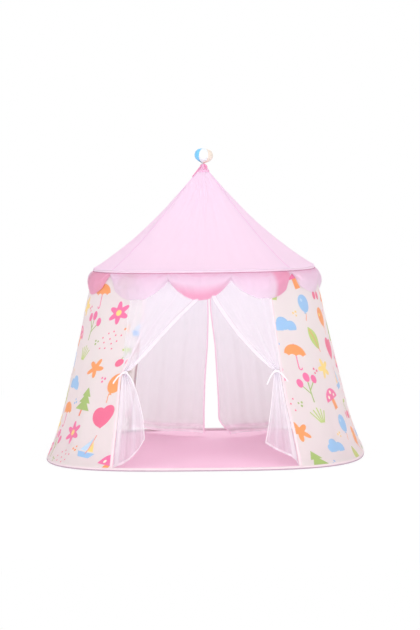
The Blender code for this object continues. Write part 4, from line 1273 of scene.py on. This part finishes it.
def ball_cloth():
    """Six gores, laid out by the ball's own UV map, whose u is the turn about it."""
    paint = Paint("ball_gores")
    u, v, _ = paint.read("UV")
    turn = (u / tau).fract() * 6
    grey, *gores = [
        (214, 208, 200), (222, 196, 180), (96, 122, 150), (112, 190, 234), (228, 232, 236), (226, 212, 200)
    ]
    layers = [(srgb(*gore), turn > float(k)) for k, gore in enumerate(gores, 1)]
    # Painted shade on the ball's underside: the blue gore and the pale gores darken towards its foot.
    low = ((0.034 - v) / 0.020).clamp()
    layers.append((srgb(226, 178, 158), low * (turn > 4.6) * 0.8))
    layers.append((srgb(78, 98, 124), low * (turn > 3.0) * (turn < 4.0)))
    near_seam = abs(turn.fract() - 0.5) * 2
    layers.append((srgb(190, 176, 178), (near_seam > 0.95) * 0.4))
    paint.bump(paint.noise(60, 3.0) + near_seam**6 * -0.8, 0.4, 0.0015)
    paint.set(Base_Color=paint.layered(srgb(*grey), layers), Roughness=0.8, Sheen_Weight=0.3)
    return paint.material


BALL = ball_cloth()


BALL_HALF_WIDTH, BALL_TALL = 0.0425, 0.068
BALL_LEAN = math.radians(7)


def make_ball():
    """The stuffed ball, flattened where it sits on the tip and puckered where its gores meet."""
    reaches = [0.00, 0.27, 0.56, 0.82, 0.97, 1.00, 0.92, 0.72, 0.42, 0.00]
    heights = [0.00, 0.076, 0.155, 0.27, 0.42, 0.58, 0.76, 0.90, 0.975, 1.00]
    lean = Matrix.Rotation(BALL_LEAN, 3, "Y")
    columns, rows = 120, 60

    def place(u, v):
        turn = mix(0, tau, u)
        at = np.linspace(0, 1, len(heights))
        reach, z = np.interp(v, at, reaches) * BALL_HALF_WIDTH, np.interp(v, at, heights) * BALL_TALL
        groove = 1 - 0.05 * np.abs(np.cos(turn * 3)) ** 10
        pucker = 1 + 0.05 * np.sin(turn * 18) * ramp((0.28 - v) * 5)
        reach = np.maximum(reach, 1e-5) * groove * pucker
        points = points_at(reach * np.cos(turn), reach * np.sin(turn), z) @ np.array(lean).T
        points[..., 2] += KNOT_HEIGHT + 0.0004
        return points

    obj = cloth("stuffed_ball", columns, rows, place)
    uv = obj.data.uv_layers.active.data
    turns = np.empty(len(obj.data.loops) * 2)
    uv.foreach_get("uv", turns)
    turns[::2] = (corner_points(obj) % (columns + 1)) / columns * tau
    uv.foreach_set("uv", turns)
    select(obj)
    bpy.ops.object.mode_set(mode="EDIT")
    bpy.ops.mesh.select_all(action="SELECT")
    bpy.ops.mesh.remove_doubles(threshold=0.00005)
    bpy.ops.mesh.normals_make_consistent(inside=False)
    bpy.ops.object.mode_set(mode="OBJECT")
    finish_piece(obj, BALL, "ball_cloth", "ball", "finial_ball")


for hand in SIDES:
    make_wall(hand)
    make_fan(hand)
    make_tail(hand)
    make_rear_net(hand)
    make_tie(hand)
    for end_name in ENDS:
        make_jamb_hem(hand, end_name)
make_roof()
make_ridges()
make_hems()
for quarter, facing in enumerate(("front", "right", "rear")):
    make_valance(facing, quarter * pi / 2)
make_valance("left", -pi / 2)
make_headers()
make_floor()
make_cap()
make_ball()

# Pole frame: the CAD solids with their own finishes


def moulded(name, colour, roughness, grain):
    """Moulded or drawn plastic with a fine grain."""
    paint = Paint(name)
    paint.bump(paint.noise(grain, 2.0), 0.12, 0.0004)
    tone = paint.layered(colour, [(srgb(214, 216, 222), paint.noise(60, 3.0) * 0.35)])
    paint.set(Base_Color=tone, Roughness=roughness + paint.noise(90, 2.0) * 0.08)
    return paint.material


POLE = moulded("white_pole", srgb(238, 239, 243), 0.30, 900)
MOULDING = moulded("white_moulding", srgb(228, 229, 235), 0.36, 500)
HOOP = moulded("grey_hoop", srgb(205, 207, 212), 0.42, 700)

FINISHES = {
    "wall_pole": POLE, "roof_rod": POLE, "foot_cup": MOULDING, "eave_elbow": MOULDING,
    "pole_ferrule": MOULDING, "apex_hub": MOULDING, "base_hoop": HOOP, "eave_hoop": HOOP,
}

for node_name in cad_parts:
    made = bpy.data.objects.get(node_name)
    for kind, finish in FINISHES.items():
        if made and node_name.startswith(kind):
            made.data.materials.clear()
            made.data.materials.append(finish)

# Floor, backdrop and light


WHITE = (1, 1, 1, 1)
SKY_STRENGTH = 0.84
FLOOR_LEVEL, MIDDLE = -0.0012, 0.6


def stage_floor():
    """A pale floor that takes the tent's shadow and runs out into white."""
    paint = Paint("studio_floor")
    paint.set(Base_Color=srgb(252, 252, 252), Roughness=0.9)
    seen = Value(paint, paint.add("LightPath").outputs["Is Camera Ray"])
    x, y, _ = paint.read("Object")
    far = ((x * x + y * y).root() * 0.5 - 0.45).clamp()
    glow = paint.add("Emission", Color=WHITE, Strength=1.0).outputs[0]
    paint.show(seen * (far * 0.10 + 0.90), paint.solid, glow)
    select()
    bpy.ops.mesh.primitive_plane_add(size=60, location=(0, 0, FLOOR_LEVEL))
    floor = bpy.context.object
    floor.name = "studio_floor"
    floor.data.materials.append(paint.material)


def light(name, place, size, power):
    """A soft square lamp that faces the middle of the tent."""
    lamp = bpy.data.lights.new(name, "AREA")
    lamp.energy = power
    lamp.size = size
    obj = bpy.data.objects.new(name, lamp)
    bpy.context.collection.objects.link(obj)
    obj.location = place
    obj.rotation_euler = (Vector((0, 0, MIDDLE)) - Vector(place)).to_track_quat("-Z", "Y").to_euler()


def world_light():
    """Even light on the tent, in a surround that the camera, gloss and glass see as white."""
    world = bpy.data.worlds.new("studio")
    bpy.context.scene.world = world
    sky = Shading(world, "World Output")
    even = sky.tree.nodes["Background"]
    sky.fill(even, Color=WHITE, Strength=SKY_STRENGTH)
    white = sky.add("Background", Color=WHITE, Strength=1.0)
    rays = sky.add("LightPath").outputs
    seen = any_of(*(Value(sky, rays[f"Is {kind} Ray"]) for kind in ("Camera", "Glossy", "Transmission")))
    sky.show(seen, even.outputs[0], white.outputs[0])


stage_floor()
world_light()
light("key", (2.8, -4.7, 3.4), size=3.5, power=85)
light("fill", (-4.0, -3.5, 2.8), size=3.5, power=58)
light("doorway_fill", (0.3, -6.5, 1.3), size=3.0, power=65)
light("back", (0.5, 4.5, 3.2), size=4.0, power=70)
bpy.context.scene.view_settings.view_transform = "Standard"
